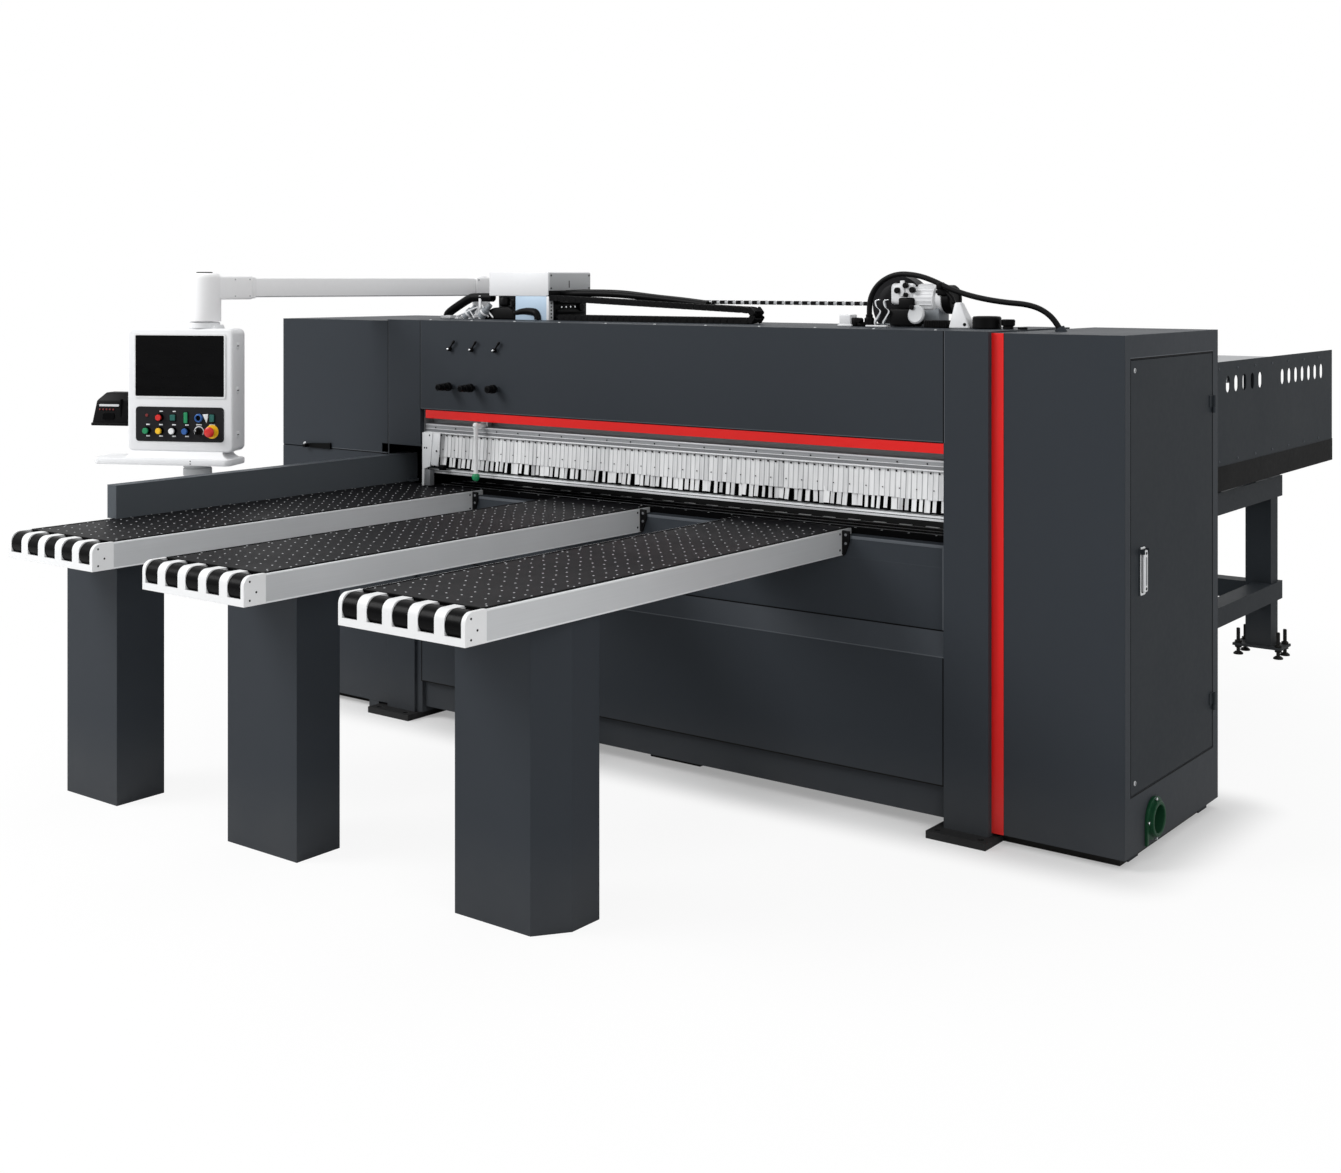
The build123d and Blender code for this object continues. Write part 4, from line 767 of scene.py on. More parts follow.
driveBox = {
    "tones": "whitePaint greyPaint bluePaint blackPlastic gearPaint blackPaint", "slot": "white_paint",
    "hides": "top_drive_box",
    "boxes": (  # box with its end plate, blue sheet, black machinery, tray, and the foot left of it
        (0, -1117, 80, 1791, -776, 355, 1893, 4), (1, -777, 84, 1815, -772, 351, 1889, 1.5),
        (3, -777, 82, 1789, -771, 349, 1815, 1.5), (3, -774, 208, 1827, -771.2, 212, 1857),
        (2, -962, 80, 1690, -785, 84, 1791, 0.8), (0, -786, 79, 1690, -772, 108, 1791, 1.5),
        (5, -918, 122, 1690, -786, 341, 1791, 3), (3, -802, 140, 1716, -778, 325, 1736, 6, 3),
        (3, -802, 140, 1756, -776, 325, 1774, 6, 3), (5, -788, 132, 1692, -780, 295, 1706, 2),
        (4, -1097, 120, 1690, -1091, 351, 1791, 1), (1, -776, 153, 1766, 771, 169, 1778, 1.5),
        (0, -1182, 82, 1690, -1168, 88, 1792, 1.5), (0, -1412, 80, 1690, -1352, 124, 1704, 2.5),
    ),
    "turned": (  # screws, roller, knobs, dampers
        (3, 10, "x", (4, 3, 0.8), *grid((-773.5,), (94, 341), (1825, 1879))),
        (3, 8, "x", (4.2, 4, 0.8), *grid((-774,), (94,), range(1702, 1778, 15))),
        (3, 20, "x", (17, 60, 3), (-832, 295, 1742)),
        (3, 20, "z", ((0, 0), (17, 0), (17, 58), (25, 64), (26, 84), (20, 95), (0, 97)), (-1036, 94, 1690)),
        (3, 18, "z", ((0, 0), (10, 0), (10, 56), (15, 62), (16, 82), (11, 90), (0, 91)), (-975, 90, 1690)),
        *damper((-1262, 84, 1697), (-1208, 90, 1742), 19), *damper((-1150, 66, 1700), (-1100, 70, 1752), 18),
    ),
    "tubes": (  # hoses above the chain, pipe and thin rods of the linkage, front hose
        (3, 14, 12, 6, ((-776, 160, 1799), (-652, 160, 1803), (-472, 160, 1800), (-292, 160, 1788),
         (-132, 144, 1776), (18, 130, 1762))),
        (3, 14, 12, 6, ((-776, 192, 1803), (-652, 192, 1807), (-472, 192, 1804), (-292, 192, 1788),
         (-132, 176, 1776), (18, 162, 1762))),
        (3, 19, 14, 6, ((-1388, 100, 1700), (-1366, 100, 1722), (-1256, 100, 1776), (-1206, 100, 1784),
         (-1112, 100, 1784))),
        (0, 3.4, 8, 0, ((-1304, 71, 1700), (-1262, 71, 1714), (-1176, 71, 1742), (-1160, 71, 1702))),
        (0, 3.4, 8, 0, ((-1266, 71, 1696), (-1226, 71, 1730), (-1196, 71, 1694))),
        (0, 3.4, 8, 0, ((-1150, 71, 1752), (-1112, 71, 1700))),
        (0, 3.4, 8, 0, ((-1128, 71, 1736), (-1084, 71, 1698))),
        (3, 16, 12, 6, ((-1148, 102, 1716), (-1080, 100, 1706), (-1000, 96, 1712), (-920, 88, 1726),
         (-852, 78, 1724), (-834, 78, 1708), (-832, 78, 1692))),
    ),
    "hulls": (  # black hood, pale gussets
        (3, 7, ((-1168, 76, 1690), (-1152, 76, 1718), (-1092, 76, 1740), (-1004, 76, 1746), (-976, 76, 1732),
         (-962, 76, 1690), (-1168, 132, 1690), (-1152, 132, 1718), (-1092, 132, 1740), (-1004, 132, 1746),
         (-976, 132, 1732), (-962, 132, 1690)), 3),
        (0, 1, ((-1326, 78, 1690), (-1280, 78, 1690), (-1326, 86, 1690), (-1280, 86, 1690), (-1304, 78, 1708),
         (-1292, 78, 1708), (-1304, 86, 1708), (-1292, 86, 1708))),
        (0, 1, ((-1272, 78, 1690), (-1226, 78, 1690), (-1272, 86, 1690), (-1226, 86, 1690), (-1250, 78, 1712),
         (-1238, 78, 1712), (-1250, 86, 1712), (-1238, 86, 1712))),
    ),
}
makePiece("driveBox", driveBox)
rowPiece("driveBolts", hexHead(9.0, 5.0), "chromeMetal", start=(-780.6, 146, 1699), step=(0, 29, 0),
         count=5, rowStep=(0, 9, 46), rows=2, stagger=0.4, turn=(0, 90, 0))
rowPiece("trayClips", boxPart(-11, -9.5, -7.5, 11, 9.5, 7.5), "blackPlastic",
         start=(-352, 161, 1772), step=(38.5, 0, 0), count=29)
print("drive box built")


# Lift gearmotor with its cover, gear block, clamp, hand disc, rack and the caps beside it
def bracket(shift):  # bent bright sheet left of the gear block
    bow = bentPoints([(x + shift, 0, z) for x, z in ((834, 1790), (816, 1784), (820, 1764), (836, 1748), (824, 1726),
                                                     (812, 1704), (834, 1697))], 5)
    edge = [(p.x, p.z) for p in bow] + [(p.x + 6, p.z - 2) for p in reversed(bow)]
    return 3, "y", 62 + shift * 0.3, 72 + shift * 0.3, 0, edge


gearMotor = {
    "tones": "gearPaint whitePaint blackPlastic chromeMetal panelGrey paleGrey", "slot": "grey_paint",
    "hides": "lift_gearmotor",
    "boxes": (  # gear block, motor foot and base, cable clamp, fittings at the left foot, rack block
        (1, 862, 92, 1770, 958, 122, 1848, 14, 3), (1, 906, 86, 1800, 924, 94, 1858, 3),
        (2, 900, 84, 1754, 962, 120, 1796, 7, 3), (2, 866, 80, 1694, 986, 128, 1756, 6, 3),
        (0, 987, 110, 1698, 1051, 190, 1760, 5), (0, 792, 106, 1690, 1109, 224, 1701, 2),
        (2, 1052, 90, 1804, 1090, 130, 1834, 6, 3), (2, 1062, 66, 1826, 1082, 100, 1852, 5, 3),
        (2, 1044, 96, 1812, 1100, 124, 1824, 3), (1, 780, 56, 1690, 866, 92, 1696, 1.5),
        (1, 666, 60, 1690, 714, 110, 1733, 4, 3), (1, 660, 58, 1690, 720, 112, 1697, 2),
        (2, 714, 66, 1690, 736, 94, 1722, 4), (2, 734, 70, 1690, 772, 92, 1707, 4),
        (2, 1017, 60, 1690, 1110, 97, 1717, 2),
    ),
    "turned": (  # cover boss, caps, barrel, cowl, shaft, cable post, rubber cups, tilted hand disc
        (4, 36, "-y", ((0, -6), (64, -6), (70, 0), (64, 3), (0, 3)), (866, 122, 1776)),
        (2, 16, "-y", ((0, -2), (11, -2), (11, 10), (8, 13), (0, 13)), (896, 90, 1822), (958, 90, 1824)),
        (2, 16, "-y", ((0, -2), (10, -2), (10, 10), (7, 13), (0, 13)), (930, 90, 1840)),
        (2, 16, "-y", ((0, -2), (8, -2), (8, 10), (5, 13), (0, 13)), (930, 90, 1806)),
        (1, 40, "x", ((0, 0), (48, 0), (55, 7), (55, 84), (48, 90), (48, 112), (43, 116), (0, 116)),
         (949, 150, 1790)),
        (2, 36, "x", ((0, 0), (50, 0), (52, 3), (52, 26), (47, 33), (36, 34), (34, 30), (0, 30)),
         (1065, 150, 1790)),
        (3, 14, "y", (8, 26, 1), (984, 66, 1738)), (2, 14, "-y", (9, 12, 2), (968, 68, 1762)),
        (2, 20, "z", ((0, 0), (18, 0), (18, 30), (13, 34), (13, 44), (0, 44)), (783, 80, 1690)),
        (2, 16, "-y", (10, 26, 2), (750, 80, 1712)), (2, 12, "-y", (6, 4, 1), (1183, 54, 1704)),
        (2, 40, "z", ((0, 0), (47, 0), (50, 4), (50, 38), (46, 43), (38, 44), (36, 40), (0, 40)), (1255, 80, 1690)),
        (2, 28, "z", ((0, 0), (18, 0), (18, 10), (23, 13), (24, 30), (21, 34), (0, 34)), (1336, 80, 1690)),
        (2, 24, "z", (17, 8, 2), (1390, 80, 1690)),
        (5, 32, None, ((0, -3), (30, -3), (34, 0), (34, 5), (29, 9), (12, 7), (0, 7)),
         move((985, 68, 1736)) @ Euler(angles((78, -14, 0))).to_matrix().to_4x4()),
    ),
    "tubes": (  # tail of the clamp
        (2, [8] * 12 + [6], 10, 6, ((1086, 100, 1818), (1108, 96, 1800), (1122, 92, 1776))),
    ),
    "prisms": (  # dark D-shaped cover, flat on the deck
        (4, "y", 121, 179, 5, arc(880, 1768, 107, -46.5, 226.5, 32), 3), bracket(0), bracket(30),
    ),
    "hulls": (  # tapered tower
        (1, 6, ((1120, 50, 1690), (1202, 50, 1690), (1202, 112, 1690), (1120, 112, 1690), (1136, 66, 1781),
         (1160, 66, 1781), (1160, 92, 1781), (1136, 92, 1781)), 3),
    ),
}
makePiece("liftGearmotor", gearMotor)
wheelPiece("gearmotorFins", boxPart(53.5, -1.2, -34, 56.5, 1.2, 34), "whitePaint",
           centre=(993, 150, 1790), count=26, turn=(0, 90, 0))
rowPiece("rackRibs", boxPart(-2, -1.5, -11, 2, 1.5, 11), "blackPlastic", start=(1024, 59.5, 1704),
         step=(6.8, 0, 0), count=13)
print("gearmotor built")

# Console: two-part housing, screen, button panel, tray and label printer, all turned with it
console = {
    "elbow": (-1725.0, -950.0), "off": 77.0, "turn": 26.0, "front": -64.0, "pitch": 57.0, "high": 1304.0,
    "low": 1250.0,
}
swing = Matrix.Rotation(radians(console["turn"]), 4, "Z")
consolePlace = move((*console["elbow"], 0)) @ swing @ move((-console["off"], 0, 0))
housing = {
    "tones": "whitePaint blackPlastic", "body": "console", "slot": "white_paint", "hides": "console_housing",
    "boxes": (  # slots in the latches
        (1, 231.5, -25, 1234, 232.7, -9, 1238, 0.5), (1, 231.5, -25, 1413, 232.7, -9, 1417, 0.5),
        (1, 231.5, -25, 1592, 232.7, -9, 1596, 0.5),
    ),
    "turned": (  # neck under the elbow
        (0, 40, "z", ((0, 0), (60, 0), (62, 2), (62, 22), (58, 25), (30, 26), (30, 130), (26, 136), (0, 136)),
         (77, 0, 1664)),
    ),
    "hulls": (
        (0, 3, ((-36, -40, 1662), (146, -40, 1662), (-36, 44, 1662), (146, 44, 1662), (8, -36, 1678),
         (142, -36, 1678), (8, 40, 1678), (142, 40, 1678))),
    ),
    "slabs": (  # front, dark joint, back and the latches across it
        (0, "y", (-230.5, 230.5, 1166, 1664), 24, ((-61, 9), (-59.8, 5), (-57, 2), (-52, 0), (-19, 0), (-18, 0.8)),
         7),
        (1, "y", (-230.5, 230.5, 1166, 1664), 24, ((-19, 4), (-14, 4)), 7),
        (0, "y", (-230.5, 230.5, 1166, 1664), 24, ((-15, 2.8), (-14, 2), (45, 2), (53, 4), (58, 8), (61, 14)), 7),
        (0, "x", (-28, -6, 1223, 1249), 5, softRows(227.5, 232, 1.5)),
        (0, "x", (-28, -6, 1402, 1428), 5, softRows(227.5, 232, 1.5)),
        (0, "x", (-28, -6, 1581, 1607), 5, softRows(227.5, 232, 1.5)),
    ),
}
makePiece("consoleHousing", housing, consolePlace)
screen = {
    "tones": "screenGlass", "body": "console", "slot": "screen_glass", "hides": "console_screen",
    "slabs": ((0, "y", (-193, 193, 1390, 1636), 4, ((-60, 0), (-64.4, 0), (-65, 0.6))),),
}
makePiece("screenGlass", screen, consolePlace)
screenFrame = {
    "tones": "whitePlastic", "body": "console", "slot": "white_plastic", "depths": (-64.2, -60, -60, -64.2),
    "outer": rounded(-200, 200, 1383, 1643, 10, 6), "inner": rounded(-193, 193, 1390, 1636, 4, 6),
}


def makeScreenFrame(spec):
    bm = bmesh.new()
    lines = (spec["outer"], spec["outer"], spec["inner"], spec["inner"])
    rings = [onAxis(bm, "y", line, depth) for line, depth in zip(lines, spec["depths"])]
    dress(bm, skin(bm, rings, False, True), 0, consolePlace)
    makePiece("screenFrame", spec, bm=bm)


makeScreenFrame(screenFrame)

# Button panel: collars, square keys, lamp, lock ring with a key tag, selector scale, yellow stop plate
buttonPanel = {
    "tones": "panelGrey tagWhite darkRedPlastic tealPlastic greenPlastic bluePlastic yellowPlastic glossBlack",
    "body": "console", "slot": "black_plastic", "hides": "button_panel",
    "turned": (  # collars, lamp, lock ring, stop plate
        (7, 28, "-y", ((12.9, 0), (17, 0), (17, 3), (15.8, 9), (15, 11.5), (12.9, 11.5)), (-85.5, -64, 1304),
         (-142.5, -64, 1250), (-85.5, -64, 1250), (-28.5, -64, 1250), (28.5, -64, 1250)),
        (0, 28, "-y", ((12.9, 0), (17, 0), (17, 3), (15.8, 9), (15, 11.5), (12.9, 11.5)), (85.5, -64, 1250)),
        (2, 20, "-y", ((0, -1), (6.5, -1), (6.5, 1.5), (5, 3.5), (0, 4.2)), (-142.5, -64, 1312)),
        (5, 32, "-y", ((11, 0), (17, 0), (17, 7), (14.5, 10), (11, 10)), (85.5, -64, 1304)),
        (7, 24, "-y", ((0, 0), (10.9, 0), (10.9, 3), (0, 3)), (85.5, -64, 1304)),
        (6, 40, "-y", ((0, -1), (28, -1), (28, 2), (27, 3), (0, 3)), (142.5, -64, 1250)),
        (6, 28, "-y", ((11.4, 2), (17, 2), (17, 12), (15, 16), (11.4, 16)), (142.5, -64, 1250)),
    ),
    "prisms": (  # selector scale
        (1, "y", -64.8, -63.5, 0, arc(85.5, 1250, 21.5, -40, 220, 24) + arc(85.5, 1250, 17.6, 220, -40, 24)),
    ),
    "hulls": (  # key tag
        (1, 0.6, ((102.5, -68, 1319), (125.5, -68, 1321), (125.5, -68, 1308), (119.5, -68, 1284),
         (112.5, -68, 1302), (102.5, -64, 1319), (125.5, -64, 1321), (125.5, -64, 1308), (119.5, -64, 1284),
         (112.5, -64, 1302))),
    ),
    "slabs": (  # panel, square keys on dark plates
        (0, "y", (-192, 192, 1207, 1347), 14, ((-60, 0), (-63.2, 0), (-64, 1))),
        (3, "y", (-40, -17, 1292, 1316), 3, ((-63.5, 0), (-68.5, 0), (-70, 1.5))),
        (7, "y", (-43, -14, 1289, 1319), 4, ((-63.5, 0), (-65.5, 0), (-66, 0.5))),
        (4, "y", (20.5, 36.5, 1282, 1326), 3, ((-63.5, 0), (-68.5, 0), (-70, 1.5))),
        (7, "y", (17.5, 39.5, 1279, 1329), 4, ((-63.5, 0), (-65.5, 0), (-66, 0.5))),
        (3, "y", (132.5, 152.5, 1289, 1319), 3, ((-63.5, 0), (-68.5, 0), (-70, 1.5))),
        (7, "y", (129.5, 155.5, 1286, 1322), 4, ((-63.5, 0), (-65.5, 0), (-66, 0.5))),
    ),
}
makePiece("buttonPanel", buttonPanel, consolePlace)
panelTags = {  # blank tags beside the buttons: half width, half height, first place, count, rows
    "panelTags": (8, 2.6, (-137.5, -64, 1275), 4, 2), "panelTagsHigh": (7, 2, (-79.5, -64, 1329), 2, 1),
    "panelTagsMiddle": (12, 2, (85.5, -64, 1277), 2, 1),
}
for name, (wide, tall, start, count, rows) in panelTags.items():
    rowPiece(name, boxPart(-wide, -0.6, -tall, wide, 0.5, tall, 0.4), "tagWhite",
             consolePlace @ Vector(start), swing @ Vector((console["pitch"], 0, 0)), count, "console",
             rowStep=(0, 0, -46), rows=rows, turn=(0, 0, console["turn"]))
keyCap = ((0, 0), (12.3, 0), (12.3, 9.5), (10.7, 11.6), (8.3, 11.9), (0, 10.6))
keys = {  # column, height, finish, slot
    "red_button": (1, "high", "redPlastic", "red_plastic"),
    "green_button": (0, "low", "greenPlastic", "green_plastic"),
    "yellow_button": (1, "low", "yellowPlastic", "yellow_plastic"),
    "white_button": (2, "low", "whitePlastic", "white_plastic"),
    "blue_button": (3, "low", "bluePlastic", "blue_plastic"),
}
for node, (column, height, tone, slot) in keys.items():
    at = ((column - 2.5) * console["pitch"], console["front"] - 7, console[height])
    makePiece(node + "Cap", {"turned": ((0, 32, "-y", keyCap, at),)}, consolePlace, tones=tone, slot=slot, body=node,
              hides=node)
selector = {
    "tones": "blackPlastic tagWhite", "body": "mode_selector", "slot": "black_plastic", "hides": "mode_selector",
    "boxes": ((0, 81.5, -94, 1238.6, 89.5, -82, 1261.4, 2.5, 3), (1, 84.5, -94.4, 1252, 86.5, -93, 1260, 0.3)),
    "turned": ((0, 28, "-y", ((0, 0), (12.3, 0), (12.3, 9), (10.8, 12), (0, 12)), (85.5, -71, 1250)),),
}
makePiece("modeSelectorKnob", selector, consolePlace)
stopButton = {
    "tones": "redPlastic", "body": "emergency_stop", "slot": "red_plastic", "hides": "emergency_stop",
    "turned": (
        (0, 40, "-y", ((0, 0), (10.8, 0), (10.8, 13), (17, 14), (20.6, 16.5), (21, 19), (20.4, 22), (16, 25),
         (8, 25.8), (0, 26)), (142.5, -72, 1250)),
    ),
}
makePiece("stopMushroom", stopButton, consolePlace)

# Tray with a flared skirt below the housing, and the small label printer at the housing's left
skirt = {  # each side: where it starts, how far it runs out
    "steps": 8, "flare": 2.2, "left": (-213, -26), "right": (185, 32), "front": (-57, -20), "back": (31, 8),
    "z": (1169, -30),
}
printerFace = {
    "slope": (-7.5, (-317.5, -52.4, 1324)),
    "slabs": ((3, "y", (-44, 44, 20, 29), 3, ((2, 0), (-1.6, 0), (-2.2, 0.6))),
              (5, "y", (-26, 26, -34, -6), 8, ((2, 0), (-1.6, 0), (-2.4, 0.8)))),
    "turned": ((4, 14, "-y", ((0, -1), (3.4, -1), (3.4, 1.4), (0, 2.2)), *grid(range(-40, 21, 15), (-1,), (8,))),),
}
tray = {
    "tones": "whitePaint greyPaint blackPlastic paleGrey darkRedPlastic glossBlack", "body": "console",
    "slot": "white_paint", "hides": "console_tray",
    "boxes": ((5, -266.5, -54, 1280, -260.5, 30, 1374, 1),),
    "turned": (  # stub below the tray, screws
        (1, 44, "z", ((0, 0), (54, 0), (57, 3), (57, 30), (53, 31), (53, 35), (57, 36), (57, 48), (0, 48)),
         (42, 10, 1065)),
        (2, 12, "-y", (2.6, 2, 0.5), (60, -88.6, 1121), (60, -88.6, 1132)),
    ),
    "hulls": (  # printer
        (2, 5, ((-390.5, -57, 1276), (-390.5, 36, 1276), (-375.5, -46, 1368), (-375.5, 36, 1368),
         (-343.5, -26, 1400), (-343.5, 36, 1400), (-230.5, -26, 1400), (-230.5, 36, 1400), (-230.5, -46, 1368),
         (-230.5, 36, 1368), (-230.5, -57, 1276), (-230.5, 36, 1276)), 3),
    ),
    "slabs": (  # tray, foot of the printer
        (0, "z", (-371, 228, -90, 70), 26, softRows(1113, 1140, 6), 7),
        (2, "z", (-395.5, -229.5, -60, 40), 8, softRows(1266, 1278, 3)),
    ),
}


def makeTray():
    lean, at = printerFace["slope"]
    bm = shapes(printerFace, consolePlace @ move(at) @ Matrix.Rotation(radians(lean), 4, "X"))
    rings = []
    for k in range(skirt["steps"] + 1):
        t = k / skirt["steps"]
        left, right = [skirt[side][0] + skirt[side][1] * t ** skirt["flare"] for side in ("left", "right")]
        front, back, z = [skirt[side][0] + skirt[side][1] * t for side in ("front", "back", "z")]
        corners = ((left, front, z), (right, front, z), (right, back, z), (left, back, z))
        rings.append([bm.verts.new(consolePlace @ Vector(p)) for p in corners])
    dress(bm, skin(bm, rings), 0)
    makePiece("consoleTray", tray, consolePlace, bm)


makeTray()
print("console built")

# Swing arm: square tube in a sleeve, round elbow, end block on the post
arm = {"post": (-1416.0, 345.0)}
armReach = Vector(console["elbow"]) - Vector(arm["post"])
reach = armReach.length
armPlace = move((*arm["post"], 0)) @ Matrix.Rotation(atan2(armReach.y, armReach.x), 4, "Z")
swingArm = {
    # the arm in the lighter copy of the white paint, painted light
    "tones": "armPaint blackPlastic dullAlu", "body": "arm", "slot": "white_paint", "hides": "swing_arm",
    "boxes": (
        (0, 20, -32, 1788, reach - 160, 32, 1868, 4, 3), (2, 52, -32.5, 1791, reach - 206, 32.5, 1793, 0.2),
        (0, reach - 192, -48, 1780, reach - 10, 48, 1877, 10, 4),
        (0, reach - 206, -40, 1784, reach - 180, 40, 1872, 4, 3), (0, -46, -42, 1788, 52, 42, 1871, 6, 3),
    ),
    "turned": (
        (0, 48, "z", ((0, 130), (30.4, 130), (30.4, 0), (64, 0), (66, 2), (66, 174), (64, 183), (59, 191), (51, 195),
                      (42, 196), (0, 196)), (reach, 0, 1692)),
        (1, 32, "z", ((0, -2), (32, -2), (32, 3.4), (29, 4.6), (0, 4.6)), (reach, 0, 1888)),
        (0, 32, "z", (26, 5, 2), (0, 0, 1870)),
    ),
}
makePiece("swingArm", swingArm, armPlace)
armScrews = {"tones": "zincSteel", "body": "arm", "slot": "steel", "turned": [
    (0, 12, along, size, *grid(xs, (side * y,), zs)) for along, side in (("-y", -1), ("y", 1)) for size, xs, y, zs in (
        ((3.2, 2.0, 0.6), (reach - 176, reach - 112), 47, (1794, 1862)),
        ((4.5, 3.0, 0.8), (-34, 40), 41, (1800, 1860)))]}
makePiece("armScrews", armScrews, armPlace)
print("arm built")


# Bright lip of the pressure beam, under the curtain
clampLip = {
    "tones": "brightAlu", "body": "pressure_beam", "slot": "alu",
    "prisms": (
        (0, "x", -1231, 1231, 0, ((-156, 1042), (-168, 1042), (-169, 1049), (-165, 1050), (-165, 1052),
         (-169, 1053), (-168, 1060), (-162, 1063), (-156, 1063))),
    ),
}
makePiece("clampLip", clampLip)

# Header face in two bands with specks
headerFace = {
    "tones": "brightAlu dullAlu crossAlu", "slot": "alu",
    "boxes": (
        (1, -1232, -188, 1218, 1232, -186.5, 1230), (0, -1232, -188.6, 1230, 1232, -186.5, 1232),
        (2, -1232, -189, 1244, 1232, -157, 1251, 1.2),
    ),
    "prisms": (
        (0, "x", -1232, 1232, 0, ((-187, 1212), (-190.4, 1213), (-190.4, 1216), (-188.2, 1218), (-187, 1218))),
    ),
}
makePiece("headerFace", headerFace)
rowPiece("headerSpecks", screwHead(3.0, 2.2, 8), "blackPlastic", start=(-1172, -187.6, 1237),
         step=(117, 0, 0), count=21, turn=(90, 0, 0), tilt=(0, 0, 30))
curtainBracket = {  # tapering plate down to the table at the curtain's left end, a second fold beside it, stop blocks
    "tones": "tagWhite blackPlastic dullAlu", "slot": "alu",
    "boxes": (
        (2, -1224, -201, 990, -1194, -173, 1058, 3), (1, -1140, -201, 1060, -1114, -181, 1082, 2),
        (0, -1232, -199, 1213, -1132, -185, 1216, 0.5),
    ),
    "turned": (
        (1, 10, "-y", (4, 3, 0.8), (-1222, -202, 1150), (-1210, -202, 1150), (-1192, -202, 1204),
         (-1152, -202, 1140)),
    ),
    "prisms": (
        (0, "y", -204, -200, 1, ((-1236, 1214), (-1174, 1214), (-1186, 1110), (-1190, 1072), (-1224, 1062),
         (-1226, 989), (-1237, 989))),
        (0, "y", -201, -198, 0.8, ((-1178, 1213), (-1132, 1213), (-1140, 1120), (-1148, 1078), (-1186, 1078),
         (-1188, 1110))),
        (0, "y", -202, -177, 1, ((-1236, 1214), (-1230, 1214), (-1230, 989), (-1236, 989))),
    ),
}
makePiece("curtainBracket", curtainBracket)

# Side aligner: hanger on the guide bar, white drop tube, green bumper
sideAligner = {
    "tones": "whitePlastic greenPlastic zincSteel chromeMetal", "body": "aligner", "slot": "alu",
    "hides": "side_aligner",
    "boxes": ((2, -920, -179, 1254, -880, -153, 1278, 3), (0, -910, -238, 1252, -890, -173, 1268, 4, 3)),
    "turned": (  # sleeve, tube, bumper, screw
        (2, 28, "x", ((8.4, -24), (15, -24), (16.5, -22), (16.5, 22), (15, 24), (8.4, 24)), (-900, -165, 1290)),
        (0, 24, "z", ((0, 0), (9, 0), (9, 194), (11, 200), (11, 218), (7, 223), (0, 224)), (-900, -228, 1050)),
        (1, 28, "z", ((0, -16), (8, -15), (13.5, -10), (16, -3), (16, 6), (13, 12), (7, 15.4), (0, 16)),
         (-900, -228, 1050)),
        (3, 16, "-y", ((0, -1), (5, -1), (5, 2), (3, 4.4), (0, 5)), (-900, -238, 1260)),
    ),
}
makePiece("sideAligner", sideAligner)
print("curtain ends, lip and aligner made")

# Valve levers and regulators on the beam panel
controls = {
    "front": -210.0, "levers": (-1060.0, -935.0, -804.0), "leverZ": 1572.0, "knobZ": 1416.0, "knobR": 17.0,
    "knobs": ((-1052.0, 80.0, 3), (-920.0, 85.0, 3), (-796.0, 55.0, 2)),  # x, length, rings
    "ringStep": 26, "ringGrowth": 1.7, "gap": 8.3, "ribs": 22,
}
lever = {
    "tones": "blackPlastic chromeMetal", "slot": "chrome_metal",
    "turned": (
        (0, 24, "-y", ((4.2, 0), (9, 0), (9, 11), (7, 13.4), (4.2, 13.4)), (0, -4.3, 0)),
        (1, 20, "-y", ((0, 0), (4.6, 0), (5.4, 2), (4.8, 5), (2.8, 7.4), (0, 8)), (0, -17, 0)),
        (0, 16, None, ((0, 6), (3.6, 6), (3.2, 22), (4.2, 30), (5.8, 36), (6, 41), (3.6, 45.4), (0, 46)),
         move((0, -11, 0)) @ Matrix.Rotation(radians(40), 4, "Y")),
    ),
}


def makeControls(spec):
    for i, x in enumerate(spec["levers"], 1):
        name = "toggle_lever_%d" % i
        makePiece("valveLever%d" % i, lever, move((x, spec["front"], spec["leverZ"])), body=name, hides=name)
    r, step = spec["knobR"], spec["ringStep"]
    for i, (x, length, rings) in enumerate(spec["knobs"], 1):
        name = "regulator_knob_%d" % i
        at = Vector((x, spec["front"] - spec["gap"] - length, spec["knobZ"]))
        turned = [(0, 28, "y", ((0, 0), (r - 9, 0), (r - 8, 1.5), (r - 8, length - 1), (6.1, length),
                                (6.1, length - 22), (0, length - 22)), at),
                  (1, 24, "y", ((0, -1.2), (r - 8, -1.2), (r - 7, 0), (r - 7, 1), (0, 1)), at)]
        for k in range(rings):  # each ring a little larger towards the panel
            e = r - spec["ringGrowth"] * (rings - 1 - k)
            outline = ((r - 9, 0), (e - 1.6, 0), (e, 1.6), (e, 16.4), (e - 2, 19), (r - 9, 19))
            turned.append((0, 28, "y", outline, at + Vector((0, k * step, 0))))
        makePiece("regulatorGrip%d" % i, {"turned": turned}, tones="blackPlastic glossBlack", body=name,
                  slot="black_plastic", hides=name)
        wheelPiece("regulatorRibs%d" % i, boxPart(r - 0.4, -0.9, -8, r + 0.7, 0.9, 8), "blackPlastic",
                   at + Vector((0, 9.5 + step * (rings - 1), 0)), spec["ribs"], (90, 0, 0), body=name)


makeControls(controls)
print("controls made")

